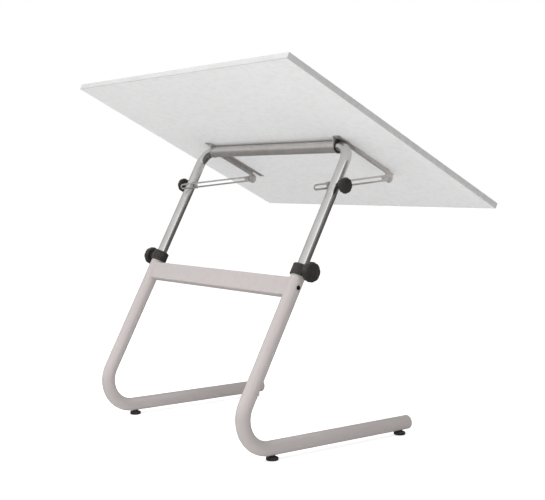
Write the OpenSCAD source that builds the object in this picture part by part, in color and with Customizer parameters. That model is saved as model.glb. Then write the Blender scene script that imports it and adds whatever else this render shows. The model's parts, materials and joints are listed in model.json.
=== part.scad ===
// Drafting table: a tilting board on a height-adjustable tubular stand.
// +X runs along the board's long edge, the user sits on the -Y side, +Z is up.
// The origin is on the floor under the middle of the whole table.

/* [Board] */
// Length of the board along X
board_w = 1000; // [800:10:1400]
// Depth of the board along its slope
board_d = 800; // [600:10:900]
// Full thickness of the board with both laminates
board_t = 16; // [14:0.5:25]
// Thickness of each laminate sheet
laminate_t = 0.8; // [0.5:0.1:1.5]
// Thickness of the edge banding
band_t = 2; // [1:0.5:4]
// Slope of the board from level, in degrees
board_tilt = 26; // [0:1:60]
// Distance up the slope from the low edge to the hinge bar
hinge_up = 410; // [330:5:470]

/* [Stand] */
// Distance between the axes of the two legs
gauge = 668; // [560:1:900]
// Forward lean of the legs from vertical, in degrees
lean = 28; // [18:1:34]
// Outer diameter of the painted tubes
leg_od = 38.1; // [34:0.1:46]
// Wall of the painted tubes
leg_wall = 1.5; // [1.2:0.1:2.5]
// Radius of the bend between runner and leg, on the axis
leg_bend_r = 80; // [70:1:120]
// Length from the corner of the two axes to the tip of the runner
runner_len = 612; // [540:2:760]
// Distance up the leg to the middle of the clamp collar
collar_up = 494; // [440:2:560]
// Gap between the collar and the cross rail, along the leg
rail_gap = 7; // [2:0.5:40]
// Height of the cross rail along the legs
rail_h = 50; // [30:1:60]
// Thickness of the cross rail
rail_t = 25; // [15:1:30]
// Wall of the cross rail
rail_wall = 1.5; // [1:0.1:2.5]

/* [Feet] */
// Height from the floor to the underside of the runner
foot_h = 12; // [11:1:25]
// Radius of a foot pad
foot_r = 16; // [11:0.5:20]
// Thickness of a foot pad
foot_pad_t = 8.5; // [5:0.5:10]
// Radius of the levelling stud
stud_r = 4; // [3:0.5:5]
// Distance from the start of the bend forward to the rear foot
foot_bend_gap = 10; // [6:1:60]
// Distance from the runner's tip back to the front foot
foot_setback = 28; // [22:1:80]

/* [Chrome column] */
// Outer diameter of the chrome tube
col_od = 28.6; // [23:0.1:32]
// Wall of the chrome tube
col_wall = 1.5; // [1.2:0.1:2]
// Radius of the bends of the chrome tube, on the axis
col_bend_r = 44; // [40:1:60]
// Distance up the leg axis to the hinge bar at this height setting
bar_up = 851; // [790:1:950]
// Length of each chrome leg below the bar's axis
col_leg_len = 551; // [480:1:600]
// Distance down the chrome leg from the bar's axis to the tilt bolt
bolt_down = 114.5; // [100:0.5:140]

/* [Clamp collars and knobs] */
// Wall of the collar around the painted tube
collar_wall = 3.85; // [2:0.05:8]
// Height of the collar
collar_h = 30; // [24:1:45]
// Thickness of the collar's top lip
collar_lip = 4; // [2:0.5:8]
// How far the collar's boss stands out from the collar
boss_out = 8; // [5:0.5:14]
// Radius of the collar's boss
boss_r = 13; // [9:0.5:14]
// Length of the guide bush inside each leg
bush_len = 75; // [50:1:110]
// Radius of the height clamp's screw
height_screw_r = 4; // [3:0.5:5]
// Radius of the height knob
height_knob_r = 26; // [20:0.5:32]
// Thickness of the height knob
height_knob_t = 18; // [12:0.5:24]
// Radius of the tilt knob
tilt_knob_r = 21; // [16:0.5:26]
// Thickness of the tilt knob
tilt_knob_t = 14; // [10:0.5:20]
// Radius of the tilt bolt
bolt_r = 3; // [2.5:0.5:4]
// Length of the hub between the chrome leg and the tilt knob
hub_len = 19.7; // [14:0.1:30]

/* [Hinge brackets and struts] */
// Wall of the sleeve that turns on the hinge bar
sleeve_wall = 1.5; // [1:0.1:3]
// Gap between the sleeve and the bracket's strip above it
bar_gap = 0.125; // [0.1:0.005:3]
// Thickness of the bracket's steel
plate_t = 2; // [1.5:0.1:3]
// Width of the bushes' flanges between the sleeve and the bends of the chrome tube
flange_t = 4; // [2:0.5:8]
// Distance down the slope from the hinge bar to the strut's pivot
ear_reach = 180; // [150:1:200]
// Distance from the board's underside to the strut's pivot
ear_drop = 19; // [17:0.5:26]
// Radius of the rounded ear
ear_r = 14; // [10:0.5:16]
// Length of the bracket's strip past the hinge bar, up the slope
strip_up = 29; // [24:1:60]
// Distance from the strut's pivot back up the slope to the end of the strip
strip_short = 10; // [0:0.5:14]
// Distance from the strut's pivot down the slope to the tip of the screw tab
tab_len = 20; // [16:1:60]
// Width of the screw tab
tab_w = 18; // [14:1:24]
// Depth of the strip's folded outer edge, from the underside of the board
fold_h = 13.5; // [8:0.5:15]
// Distance from the hinge bar to the start of the folded edge
fold_start = 30; // [28:1:60]
// Thickness of the strut
strut_t = 3; // [2:0.5:4]
// Height of the strut
strut_h = 17; // [12:0.1:21]
// Width of the strut's slot
slot_w = 7.4; // [7:0.2:9]
// Gap between the chrome leg and the middle of the strut
strut_gap = 7.3; // [6:0.1:10]
// Distance from the ear's rim to the start of the strut's slot
slot_margin = 17.8; // [3:0.1:25]
// Length of the slot beyond the tilt bolt, for tilting the board down to level
slot_reserve = 45.5; // [20:0.5:70]
// Length of the slot's solid end
strut_end_wall = 3; // [2.5:0.1:6]
// Radius of the strut's pivot pin
pivot_r = 3; // [2.5:0.5:4]

/* [Clearances] */
// Radial gap of a part that slides or turns on a tube
running_gap = 0.075; // [0.03:0.005:0.1]
// Radial gap of a turning screw or bolt
screw_gap = 0.05; // [0.02:0.01:0.1]
// Gap between faces that move past each other
face_gap = 0.3; // [0.2:0.1:0.6]
// Gap around drilled holes that only clear a bolt
drill_gap = 0.3; // [0.1:0.1:0.6]

/* [Hidden] */
$fn = 64;
LEFT = -1;
RIGHT = 1;
// overlap of solids that join, and overcut of holes
eps = 0.01;
over = 1;

// stand
half_gauge = gauge / 2;
leg_r = leg_od / 2;
leg_bore_r = leg_r - leg_wall;
runner_z = foot_h + leg_r;
bend_turn = 90 + lean;
bend_overrun = 20;
bend_tangent = leg_bend_r * tan(bend_turn / 2);
leg_top_up = collar_up + collar_h / 2 - collar_lip;
rail_up = collar_up - collar_h / 2 - rail_gap - rail_h / 2;
foot_front_back = runner_len - foot_setback;
foot_rear_back = bend_tangent + foot_bend_gap;
foot_chamfer = 1.5;
foot_neck_r = 8;
weld_nut_r = 7.5;
weld_nut_h = 6.5;
cap_dome = 5;
cap_ball_r = leg_od;
cap_plug = 14;

// height clamp
collar_gap = 0.1;
collar_r = leg_r + collar_gap + collar_wall;
collar_chamfer = 2;
boss_reach = collar_r + boss_out;
insert_len = 10;
insert_wall = 2;
bush_screw_below = 45;
bush_screw_up = collar_up - bush_screw_below;
bush_screw_r = 2.4;
bush_screw_head_r = 5.75;
bush_screw_head_t = 2.4;
washer_t = 1.2;
height_washer_r = 8.8;
knob_flutes = 8;
flute_r = 5;
flute_depth = 1.2;
knob_round = 4;
knob_hub_t = 1.4;
knob_hub_share = 0.45;
knob_recess = 1;
knob_recess_share = 0.5;
height_knob_x = boss_reach + washer_t + 2 * face_gap + knob_hub_t;
height_thread = height_knob_t - 5.4;

// chrome column
col_r = col_od / 2;
col_bore_r = col_r - col_wall;
bolt_up = bar_up - bolt_down;
bar_half = half_gauge - col_bend_r;
plug_len = 25;
plug_lip = 2;
saddle_gap = 0.05;

// pressure pads reach from the chrome tube into the wall of the painted one
pad_t = leg_bore_r + saddle_gap - col_r - face_gap;

// hinge sleeve and the flanges beside it
sleeve_half = bar_half - face_gap - flange_t;
sleeve_r = col_r + running_gap + sleeve_wall;
bar_drop = sleeve_r + bar_gap + plate_t;

// side view positions, with the corner of runner and leg at y = 0
bar_y0 = -sin(lean) * bar_up;
bar_z = runner_z + cos(lean) * bar_up;
board_top_n = bar_drop + board_t;
board_low_y0 = bar_y0 - cos(board_tilt) * hinge_up - sin(board_tilt) * board_top_n;
board_high_y0 = bar_y0 + cos(board_tilt) * (board_d - hinge_up) - sin(board_tilt) * bar_drop;
bend_back_y0 = -bend_tangent + leg_bend_r + leg_r;
front_y0 = min(board_low_y0, -runner_len);
back_y0 = max(board_high_y0, bend_back_y0);
corner_y = -(front_y0 + back_y0) / 2;
bar_y = corner_y + bar_y0;

// strut geometry in the side view
ear_z_local = bar_drop - ear_drop;
ear_y = bar_y - cos(board_tilt) * ear_reach - sin(board_tilt) * ear_z_local;
ear_z = bar_z - sin(board_tilt) * ear_reach + cos(board_tilt) * ear_z_local;
bolt_y = corner_y - sin(lean) * bolt_up;
bolt_z = runner_z + cos(lean) * bolt_up;
strut_angle = atan2(bolt_z - ear_z, bolt_y - ear_y);
pivot_to_bolt = norm([bolt_y - ear_y, bolt_z - ear_z]);
slot_start = ear_r + slot_margin;
slot_far = pivot_to_bolt + slot_reserve;
strut_inset = col_r + strut_gap;
strut_x = half_gauge - strut_inset;
strut_eye_r = strut_h / 2;

// bracket across the table: the sleeve's plate and the ear stand on the strip's two edges
inner_plate_x = sleeve_half - plate_t;
strip_x_end = strut_x - strut_t / 2 - 2 * face_gap;
ear_x = strip_x_end - plate_t;
strip_z = bar_drop - plate_t;
fold_z = bar_drop - fold_h;
strip_low = ear_reach - strip_short;
tab_low = ear_reach + tab_len;
ear_flare = 10;
rivet_t = 1.2;
rivet_r = 5.1;
screw_edge = 8;
screw_x = inner_plate_x + tab_w / 2;
screw_up_y = strip_up - screw_edge;
screw_low_y = -tab_low + screw_edge;

// clip that guides the strut, measured from the chrome leg's axis
clip_t = 1.5;
clip_len = 18;
clip_slack = 0.3;
clip_back = -strut_inset + strut_t / 2 + clip_slack;
clip_front = -strut_inset - strut_t / 2 - clip_slack;

// tilt clamp
washer_r = 6.2;
bolt_head_r = 5.5;
bolt_head_t = 4;
hub_r = 8;
saddle_root = col_r * 0.7;
tilt_knob_reach = col_r + hub_len;
tilt_thread = tilt_knob_t - 3.5;

// board
board_screw_r = 2.2;
board_screw_len = 11;
board_screw_head_r = 5;
board_screw_tip_r = 3.5;
board_screw_head_t = 2.6;
pilot_spare = 0.5;
core_w = board_w - 2 * band_t;
core_d = board_d - 2 * band_t;
core_t = board_t - 2 * laminate_t;

PAINT = [0.78, 0.77, 0.76];
CHROME = [0.80, 0.80, 0.82];
BLACK = [0.15, 0.14, 0.14];
ZINC = [0.58, 0.57, 0.56];
BRASS = [0.75, 0.60, 0.30];
WHITE = [0.92, 0.92, 0.92];
BAND = [0.80, 0.80, 0.80];
CHIP = [0.72, 0.58, 0.40];

// ---------- frames ----------

// Builds on the +X side and mirrors it for the left side.
module on_side(side) {
  if (side == LEFT) mirror([1, 0, 0]) children();
  else children();
}

// Local +Z runs up the leg, local origin is on its axis at a distance up from the corner.
module on_leg(up) {
  translate([half_gauge, corner_y - sin(lean) * up, runner_z + cos(lean) * up])
    rotate([lean, 0, 0]) children();
}

// Local +Y runs up the slope, local origin is on the hinge bar's axis.
module on_board() {
  translate([0, bar_y, bar_z]) rotate([board_tilt, 0, 0]) children();
}

// Local +Y runs from the strut's pivot towards the tilt bolt.
module on_strut() {
  translate([strut_x, ear_y, ear_z]) rotate([strut_angle, 0, 0]) children();
}

// Local +Z is up, local origin is on the floor under the runner.
module on_runner(back) {
  translate([half_gauge, corner_y - back, 0]) children();
}

// A cylinder along +X from x0 to x1.
module x_rod(x0, x1, r) {
  translate([x0, 0, 0]) rotate([0, 90, 0]) cylinder(h = x1 - x0, r = r);
}

// ---------- stand ----------

// Straight round tube along +Z.
module pipe(h, r_out, r_in) {
  difference() {
    cylinder(h = h, r = r_out);
    translate([0, 0, -over]) cylinder(h = h + 2 * over, r = r_in);
  }
}

// Bent round tube, turning about +Z from the +X axis.
module pipe_bend(turn, bend_r, r_out, r_in) {
  rotate_extrude(angle = turn) translate([bend_r, 0]) difference() {
    circle(r = r_out);
    circle(r = r_in);
  }
}

// Runner, bend and leg as one bent tube. The bend is swept past its end and cut square there.
module leg_tube(side) {
  color(PAINT) on_side(side) difference() {
    translate([half_gauge, corner_y - bend_tangent, runner_z + leg_bend_r]) rotate([0, 90, 0]) {
      translate([leg_bend_r, 0, 0]) rotate([90, 0, 0])
        pipe(runner_len - bend_tangent, leg_r, leg_bore_r);
      difference() {
        pipe_bend(bend_turn + bend_overrun, leg_bend_r, leg_r, leg_bore_r);
        rotate([0, 0, bend_turn]) translate([0, 0, -leg_od])
          cube([2 * leg_bend_r, 2 * leg_bend_r, 2 * leg_od]);
      }
      rotate([0, 0, bend_turn]) translate([leg_bend_r, 0, 0]) rotate([-90, 0, 0])
        pipe(leg_top_up - bend_tangent, leg_r, leg_bore_r);
    }
    for (back = [foot_front_back, foot_rear_back])
      on_runner(back) cylinder(h = runner_z, r = stud_r + drill_gap);
    on_leg(collar_up) x_rod(0, leg_r + over, height_screw_r + drill_gap);
    on_leg(bush_screw_up) x_rod(0, leg_r + over, bush_screw_r + screw_gap);
  }
}

// Solid bar between the leg axes, in the plane of the legs.
module rail_bar(half_len, depth, height) {
  translate([-half_gauge, 0, 0]) on_leg(rail_up)
    translate([-half_len, -depth / 2, -height / 2]) cube([2 * half_len, depth, height]);
}

// Rectangular tube coped onto both legs.
module cross_rail() {
  color(PAINT) difference() {
    rail_bar(half_gauge, rail_t, rail_h);
    rail_bar(half_gauge + over, rail_t - 2 * rail_wall, rail_h - 2 * rail_wall);
    for (side = [LEFT, RIGHT]) on_side(side)
      on_leg(rail_up - rail_h) cylinder(h = 2 * rail_h, r = leg_r + saddle_gap);
  }
}

// Domed plug in the open tip of a runner.
module runner_cap(side) {
  color(PAINT) on_side(side) on_runner(runner_len) translate([0, 0, runner_z]) rotate([90, 0, 0]) {
    rotate_extrude() intersection() {
      translate([0, cap_dome - cap_ball_r]) circle(r = cap_ball_r);
      square([leg_r, cap_dome]);
    }
    translate([0, 0, -cap_plug]) cylinder(h = cap_plug, r = leg_bore_r - saddle_gap);
  }
}

// Levelling foot: a pad with chamfered rims and a neck around its stud.
module foot(side, back) {
  rim_r = foot_r - foot_chamfer;
  color(BLACK) on_side(side) on_runner(back) difference() {
    union() {
      cylinder(h = foot_chamfer, r1 = rim_r, r2 = foot_r);
      translate([0, 0, foot_chamfer]) cylinder(h = foot_pad_t - 2 * foot_chamfer, r = foot_r);
      translate([0, 0, foot_pad_t - foot_chamfer]) cylinder(h = foot_chamfer, r1 = foot_r, r2 = rim_r);
      cylinder(h = foot_h - face_gap, r = foot_neck_r);
    }
    translate([0, 0, foot_pad_t / 2]) cylinder(h = foot_h, r = stud_r);
  }
}

module foot_stud(side, back) {
  color(ZINC) on_side(side) on_runner(back)
    translate([0, 0, foot_pad_t / 2]) cylinder(h = runner_z - foot_pad_t / 2, r = stud_r);
}

// Nuts welded inside the runners above the stud holes.
module weld_nuts() {
  seat = runner_z - sqrt(leg_bore_r ^ 2 - weld_nut_r ^ 2) + saddle_gap;
  color(ZINC) for (side = [LEFT, RIGHT], back = [foot_front_back, foot_rear_back])
    on_side(side) on_runner(back) translate([0, 0, seat]) difference() {
      cylinder(h = weld_nut_h, r = weld_nut_r, $fn = 6);
      translate([0, 0, -over]) cylinder(h = weld_nut_h + 2 * over, r = stud_r + screw_gap);
    }
}

// ---------- height clamp ----------

// Cap-like collar over the top of a painted leg, with a boss for the clamp screw.
module collar(side) {
  color(BLACK) on_side(side) on_leg(collar_up) difference() {
    union() {
      translate([0, 0, -collar_h / 2]) cylinder(h = collar_h - collar_chamfer, r = collar_r);
      translate([0, 0, collar_h / 2 - collar_chamfer])
        cylinder(h = collar_chamfer, r1 = collar_r, r2 = collar_r - collar_chamfer);
      x_rod(0, boss_reach, boss_r);
      translate([0, -boss_r, -boss_r]) cube([collar_r, 2 * boss_r, 2 * boss_r]);
    }
    translate([0, 0, -collar_h / 2 - over])
      cylinder(h = collar_h - collar_lip + over, r = leg_r + collar_gap);
    translate([0, 0, -collar_h]) cylinder(h = 2 * collar_h, r = col_r + face_gap);
    x_rod(0, boss_reach + over, height_screw_r + insert_wall);
  }
}

// Threaded brass inserts moulded into the collar bosses.
module collar_inserts() {
  color(BRASS) for (side = [LEFT, RIGHT]) on_side(side) on_leg(collar_up) difference() {
    x_rod(boss_reach - insert_len, boss_reach, height_screw_r + insert_wall);
    x_rod(0, boss_reach + over, height_screw_r + screw_gap);
  }
}

// Plastic bush that fills the gap between the painted and the chrome tube.
module guide_bush(side) {
  color(BLACK) on_side(side) difference() {
    on_leg(leg_top_up - bush_len) cylinder(h = bush_len, r = leg_bore_r - saddle_gap);
    on_leg(leg_top_up - bush_len - over)
      cylinder(h = bush_len + 2 * over, r = col_r + running_gap);
    on_leg(collar_up) x_rod(0, leg_r, height_screw_r + drill_gap);
    on_leg(bush_screw_up) x_rod(0, leg_r, bush_screw_r + screw_gap);
  }
}

module bush_screws() {
  color(BLACK) for (side = [LEFT, RIGHT]) on_side(side) on_leg(bush_screw_up) {
    x_rod(col_r + 4 * face_gap, leg_r + eps, bush_screw_r);
    x_rod(leg_r, leg_r + bush_screw_head_t, bush_screw_head_r);
  }
}

// Clamp screw, from behind its pressure pad into the knob.
module height_screw(side) {
  color(ZINC) on_side(side) on_leg(collar_up)
    x_rod(col_r + face_gap + pad_t, height_knob_x + height_thread, height_screw_r);
}

module height_washers() {
  color(ZINC) for (side = [LEFT, RIGHT]) on_side(side) on_leg(collar_up) difference() {
    x_rod(boss_reach, boss_reach + washer_t, height_washer_r);
    x_rod(boss_reach - over, boss_reach + washer_t + over, height_screw_r + drill_gap);
  }
}

module pressure_pad(side) {
  color(BRASS) on_side(side) on_leg(collar_up)
    x_rod(col_r + face_gap, col_r + face_gap + pad_t, height_screw_r - screw_gap);
}

// Round grip knob on a +X axis, with rounded rims and shallow finger flutes.
module knob(x, r, t, bore_r, bore_t) {
  translate([x, 0, 0]) rotate([0, 90, 0]) difference() {
    union() {
      rotate_extrude() {
        square([r - knob_round, t]);
        translate([0, knob_round]) square([r, t - 2 * knob_round]);
        translate([r - knob_round, knob_round]) circle(r = knob_round);
        translate([r - knob_round, t - knob_round]) circle(r = knob_round);
      }
      translate([0, 0, -knob_hub_t]) cylinder(h = knob_hub_t + eps, r = r * knob_hub_share);
    }
    for (i = [0 : knob_flutes - 1]) rotate([0, 0, i * 360 / knob_flutes])
      translate([r + flute_r - flute_depth, 0, -over]) cylinder(h = t + 2 * over, r = flute_r);
    translate([0, 0, -knob_hub_t - over]) cylinder(h = bore_t + knob_hub_t + over, r = bore_r);
    translate([0, 0, t - knob_recess]) cylinder(h = knob_recess + over, r = r * knob_recess_share);
  }
}

module height_knob(side) {
  color(BLACK) on_side(side) on_leg(collar_up)
    knob(height_knob_x, height_knob_r, height_knob_t, height_screw_r, height_thread);
}

// ---------- chrome column ----------

// Inverted U of one bent tube; its top bar is the hinge's axle.
module chrome_u_tube() {
  color(CHROME) translate([0, bar_y, bar_z]) rotate([lean, 0, 0]) difference() {
    union() {
      translate([-bar_half, 0, 0]) rotate([0, 90, 0]) pipe(2 * bar_half, col_r, col_bore_r);
      for (side = [LEFT, RIGHT]) on_side(side) {
        translate([bar_half, 0, -col_bend_r]) rotate([90, 0, 0])
          pipe_bend(90, col_bend_r, col_r, col_bore_r);
        translate([half_gauge, 0, -col_leg_len]) pipe(col_leg_len - col_bend_r, col_r, col_bore_r);
      }
    }
    for (side = [LEFT, RIGHT]) on_side(side) translate([half_gauge, 0, -bolt_down])
      x_rod(-col_od, col_od, bolt_r);
  }
}

// Plastic plugs on the lower ends of the chrome legs, sliding in the painted legs.
module glide_plugs() {
  color(BLACK) for (side = [LEFT, RIGHT]) on_side(side)
    on_leg(bar_up - col_leg_len) {
      translate([0, 0, -plug_lip]) cylinder(h = plug_lip, r = leg_bore_r - running_gap);
      cylinder(h = plug_len, r = col_bore_r - saddle_gap);
    }
}

// Flanged plastic bushes at the sleeve's ends, with a flat side under the bracket's strip.
module hinge_bushes() {
  color(BLACK) for (side = [LEFT, RIGHT]) on_side(side) on_board() difference() {
    union() {
      x_rod(sleeve_half, sleeve_half + flange_t, strip_z);
      translate([sleeve_half, -strip_z, 0]) cube([flange_t, 2 * strip_z, strip_z]);
    }
    x_rod(sleeve_half - over, sleeve_half + flange_t + over, col_r + running_gap);
  }
}

// ---------- tilt clamp ----------

module tilt_bolt(side) {
  color(ZINC) on_side(side) on_leg(bolt_up) {
    x_rod(clip_front - washer_t - bolt_head_t, clip_front - washer_t, bolt_head_r);
    x_rod(clip_front - washer_t, tilt_knob_reach + tilt_thread, bolt_r);
  }
}

module bolt_washers() {
  color(ZINC) for (side = [LEFT, RIGHT]) on_side(side) on_leg(bolt_up) difference() {
    x_rod(clip_front - washer_t, clip_front, washer_r);
    x_rod(clip_front - washer_t - over, clip_front + over, bolt_r);
  }
}

// Spacers between the strut clips and the chrome legs.
module bolt_saddles() {
  color(ZINC) for (side = [LEFT, RIGHT]) on_side(side) on_leg(bolt_up) difference() {
    x_rod(clip_back + clip_t + clip_slack, -saddle_root, washer_r);
    translate([0, 0, -col_od]) cylinder(h = 2 * col_od, r = col_r + saddle_gap);
    x_rod(-col_od, 0, bolt_r);
  }
}

module knob_hub(side) {
  color(BLACK) on_side(side) on_leg(bolt_up) difference() {
    x_rod(saddle_root, tilt_knob_reach - knob_hub_t - face_gap, hub_r);
    translate([0, 0, -col_od]) cylinder(h = 2 * col_od, r = col_r + saddle_gap);
    x_rod(0, tilt_knob_reach, bolt_r);
  }
}

module tilt_knob(side) {
  color(BLACK) on_side(side) on_leg(bolt_up)
    knob(tilt_knob_reach, tilt_knob_r, tilt_knob_t, bolt_r + insert_wall, tilt_thread);
}

// Threaded brass insert of a tilt knob.
module tilt_insert(side) {
  color(BRASS) on_side(side) on_leg(bolt_up) difference() {
    x_rod(tilt_knob_reach, tilt_knob_reach + tilt_thread, bolt_r + insert_wall);
    x_rod(tilt_knob_reach - over, tilt_knob_reach + tilt_knob_t, bolt_r + screw_gap);
  }
}

// Folded steel clip that the strut slides through; it turns on the tilt bolt.
module clip(side) {
  inner = strut_h / 2 + clip_slack;
  color(ZINC) on_side(side) on_strut() translate([strut_inset, pivot_to_bolt, 0]) difference() {
    union() {
      translate([clip_back, -clip_len / 2, -inner - clip_t])
        cube([clip_t, clip_len, 2 * (inner + clip_t)]);
      for (z = [-inner - clip_t, inner]) translate([clip_front, -clip_len / 2, z])
        cube([clip_back - clip_front + eps, clip_len, clip_t]);
    }
    x_rod(clip_back - over, 0, bolt_r + screw_gap);
  }
}

// Slotted strut from the bracket's ear to the tilt clamp.
module strut(side) {
  far = slot_far + slot_w / 2 + strut_end_wall;
  color(ZINC) on_side(side) on_strut() translate([-strut_t / 2, 0, 0]) rotate([90, 0, 90])
    linear_extrude(height = strut_t) difference() {
      union() {
        circle(r = strut_eye_r);
        translate([0, -strut_h / 2]) square([far - strut_h / 2, strut_h]);
        translate([far - strut_h / 2, 0]) circle(r = strut_h / 2);
      }
      circle(r = pivot_r);
      translate([slot_start, 0]) circle(r = slot_w / 2);
      translate([slot_far, 0]) circle(r = slot_w / 2);
      translate([slot_start, -slot_w / 2]) square([slot_far - slot_start, slot_w]);
    }
}

// Headed pin in the strut's eye, close up to the bracket's ear.
module pivot_pin(side) {
  color(ZINC) on_side(side) on_strut() {
    x_rod(strip_x_end + face_gap - strut_x, strut_t / 2 + eps, pivot_r);
    x_rod(strut_t / 2, strut_t / 2 + rivet_t, rivet_r);
  }
}

// ---------- hinge brackets ----------

// Outer tube that turns on the hinge bar and carries both brackets.
module sleeve_bar() {
  color(ZINC) translate([0, bar_y, bar_z]) difference() {
    x_rod(-sleeve_half, sleeve_half, sleeve_r);
    x_rod(-sleeve_half - over, sleeve_half + over, col_r + running_gap);
  }
}

// A plate standing across X at x, drawn in the plane of the slope.
module cross_plate(x) {
  translate([x, 0, 0]) rotate([90, 0, 90]) linear_extrude(height = plate_t) children();
}

// Rounded ear on the strut's pivot, at the end of the strip's folded edge.
module ear_outline() {
  rim = -ear_reach + ear_r;
  translate([-ear_reach, ear_z_local]) circle(r = ear_r);
  polygon([[-ear_reach - ear_r, ear_z_local], [-strip_low, bar_drop],
           [rim + ear_flare, bar_drop], [rim, ear_z_local]]);
  polygon([[-strip_low, fold_z], [-strip_low, bar_drop], [-fold_start, bar_drop],
           [-fold_start, strip_z], [-fold_start - fold_h, fold_z]]);
}

// Plate that the sleeve passes through, flared out to the strip.
module lobe_outline() {
  difference() {
    union() {
      circle(r = bar_drop);
      polygon([[-bar_drop, 0], [-strip_up, strip_z], [-strip_up, bar_drop],
               [strip_up, bar_drop], [strip_up, strip_z], [bar_drop, 0]]);
    }
    circle(r = sleeve_r);
  }
}

// Folded steel strip under the board, with a plate for the sleeve, an ear and a screw tab.
module bracket(side) {
  strip_w = strip_x_end - inner_plate_x;
  color(ZINC) on_side(side) on_board() difference() {
    union() {
      translate([inner_plate_x, -strip_low, strip_z]) cube([strip_w, strip_low + strip_up, plate_t]);
      translate([inner_plate_x, -tab_low, strip_z]) cube([tab_w, tab_len + strip_short + eps, plate_t]);
      cross_plate(inner_plate_x) lobe_outline();
      cross_plate(ear_x) ear_outline();
    }
    for (y = [screw_up_y, screw_low_y])
      translate([screw_x, y, 0]) cylinder(h = bar_drop + over, r = board_screw_r + drill_gap);
  }
}

// Rivet heads on the inner faces of the two ears.
module rivet_heads() {
  color(ZINC) for (side = [LEFT, RIGHT]) on_side(side) on_board()
    translate([0, -ear_reach, ear_z_local]) x_rod(ear_x - rivet_t, ear_x, rivet_r);
}

// ---------- board ----------

// Places a child whose corner is the board's low left underside corner.
module on_underside() {
  on_board() translate([-board_w / 2, -hinge_up, bar_drop]) children();
}

// Where each bracket's two screws go, in the frame of the hinge bar.
module at_board_screws() {
  for (side = [LEFT, RIGHT], y = [screw_up_y, screw_low_y])
    on_board() translate([side * screw_x, y, bar_drop]) children();
}

module board_core() {
  color(CHIP) difference() {
    on_underside() translate([band_t, band_t, laminate_t]) cube([core_w, core_d, core_t]);
    at_board_screws() cylinder(h = board_screw_len + pilot_spare, r = board_screw_r);
  }
}

module laminate_top() {
  color(WHITE) on_underside() translate([band_t, band_t, board_t - laminate_t])
    cube([core_w, core_d, laminate_t]);
}

module laminate_bottom() {
  color(WHITE) difference() {
    on_underside() translate([band_t, band_t, 0]) cube([core_w, core_d, laminate_t]);
    at_board_screws() translate([0, 0, -over]) cylinder(h = laminate_t + 2 * over, r = board_screw_r);
  }
}

// Edge bands: the front and rear ones run the full length, the side ones fit between them.
module long_band(y) {
  color(BAND) on_underside() translate([0, y, 0]) cube([board_w, band_t, board_t]);
}

module side_band(x) {
  color(BAND) on_underside() translate([x, band_t, 0]) cube([band_t, core_d, board_t]);
}

module board_screws() {
  color(ZINC) at_board_screws() {
    translate([0, 0, -plate_t]) cylinder(h = board_screw_len + plate_t, r = board_screw_r);
    translate([0, 0, -plate_t - board_screw_head_t])
      cylinder(h = board_screw_head_t, r1 = board_screw_tip_r, r2 = board_screw_head_r);
  }
}

leg_tube(LEFT);  // leg_tube_left
leg_tube(RIGHT);  // leg_tube_right
cross_rail();
runner_cap(LEFT);  // runner_cap_left
runner_cap(RIGHT);  // runner_cap_right
foot(LEFT, foot_front_back);  // foot_front_left
foot(RIGHT, foot_front_back);  // foot_front_right
foot(LEFT, foot_rear_back);  // foot_rear_left
foot(RIGHT, foot_rear_back);  // foot_rear_right
foot_stud(LEFT, foot_front_back);  // foot_stud_front_left
foot_stud(RIGHT, foot_front_back);  // foot_stud_front_right
foot_stud(LEFT, foot_rear_back);  // foot_stud_rear_left
foot_stud(RIGHT, foot_rear_back);  // foot_stud_rear_right
weld_nuts();
collar(LEFT);  // collar_left
collar(RIGHT);  // collar_right
collar_inserts();
guide_bush(LEFT);  // guide_bush_left
guide_bush(RIGHT);  // guide_bush_right
bush_screws();
height_screw(LEFT);  // height_screw_left
height_screw(RIGHT);  // height_screw_right
height_washers();
pressure_pad(LEFT);  // pressure_pads_left
pressure_pad(RIGHT);  // pressure_pads_right
height_knob(LEFT);  // height_knob_left
height_knob(RIGHT);  // height_knob_right
chrome_u_tube();
glide_plugs();
hinge_bushes();
tilt_bolt(LEFT);  // tilt_bolt_left
tilt_bolt(RIGHT);  // tilt_bolt_right
bolt_washers();
bolt_saddles();
knob_hub(LEFT);  // knob_hub_left
knob_hub(RIGHT);  // knob_hub_right
tilt_knob(LEFT);  // tilt_knob_left
tilt_knob(RIGHT);  // tilt_knob_right
tilt_insert(LEFT);  // tilt_insert_left
tilt_insert(RIGHT);  // tilt_insert_right
clip(LEFT);  // clip_left
clip(RIGHT);  // clip_right
strut(LEFT);  // strut_left
strut(RIGHT);  // strut_right
pivot_pin(LEFT);  // pivot_pin_left
pivot_pin(RIGHT);  // pivot_pin_right
sleeve_bar();
bracket(LEFT);  // bracket_left
bracket(RIGHT);  // bracket_right
rivet_heads();
board_core();
laminate_top();
laminate_bottom();
long_band(0);  // edge_band_front
long_band(board_d - band_t);  // edge_band_rear
side_band(0);  // edge_band_left
side_band(board_w - band_t);  // edge_band_right
board_screws();
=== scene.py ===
"""Looks of a drafting table: a tilting laminated board on an adjustable tubular stand.

Each sub-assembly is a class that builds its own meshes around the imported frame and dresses
them. All lengths are in metres, in the frame's own axes: +X along the board, +Z up.
"""

from __future__ import annotations

import json
import logging
import math
from dataclasses import dataclass, field
from enum import Enum
from typing import Any, Callable, Iterable, Sequence

import bmesh
import bpy
from mathutils import Matrix, Vector

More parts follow.
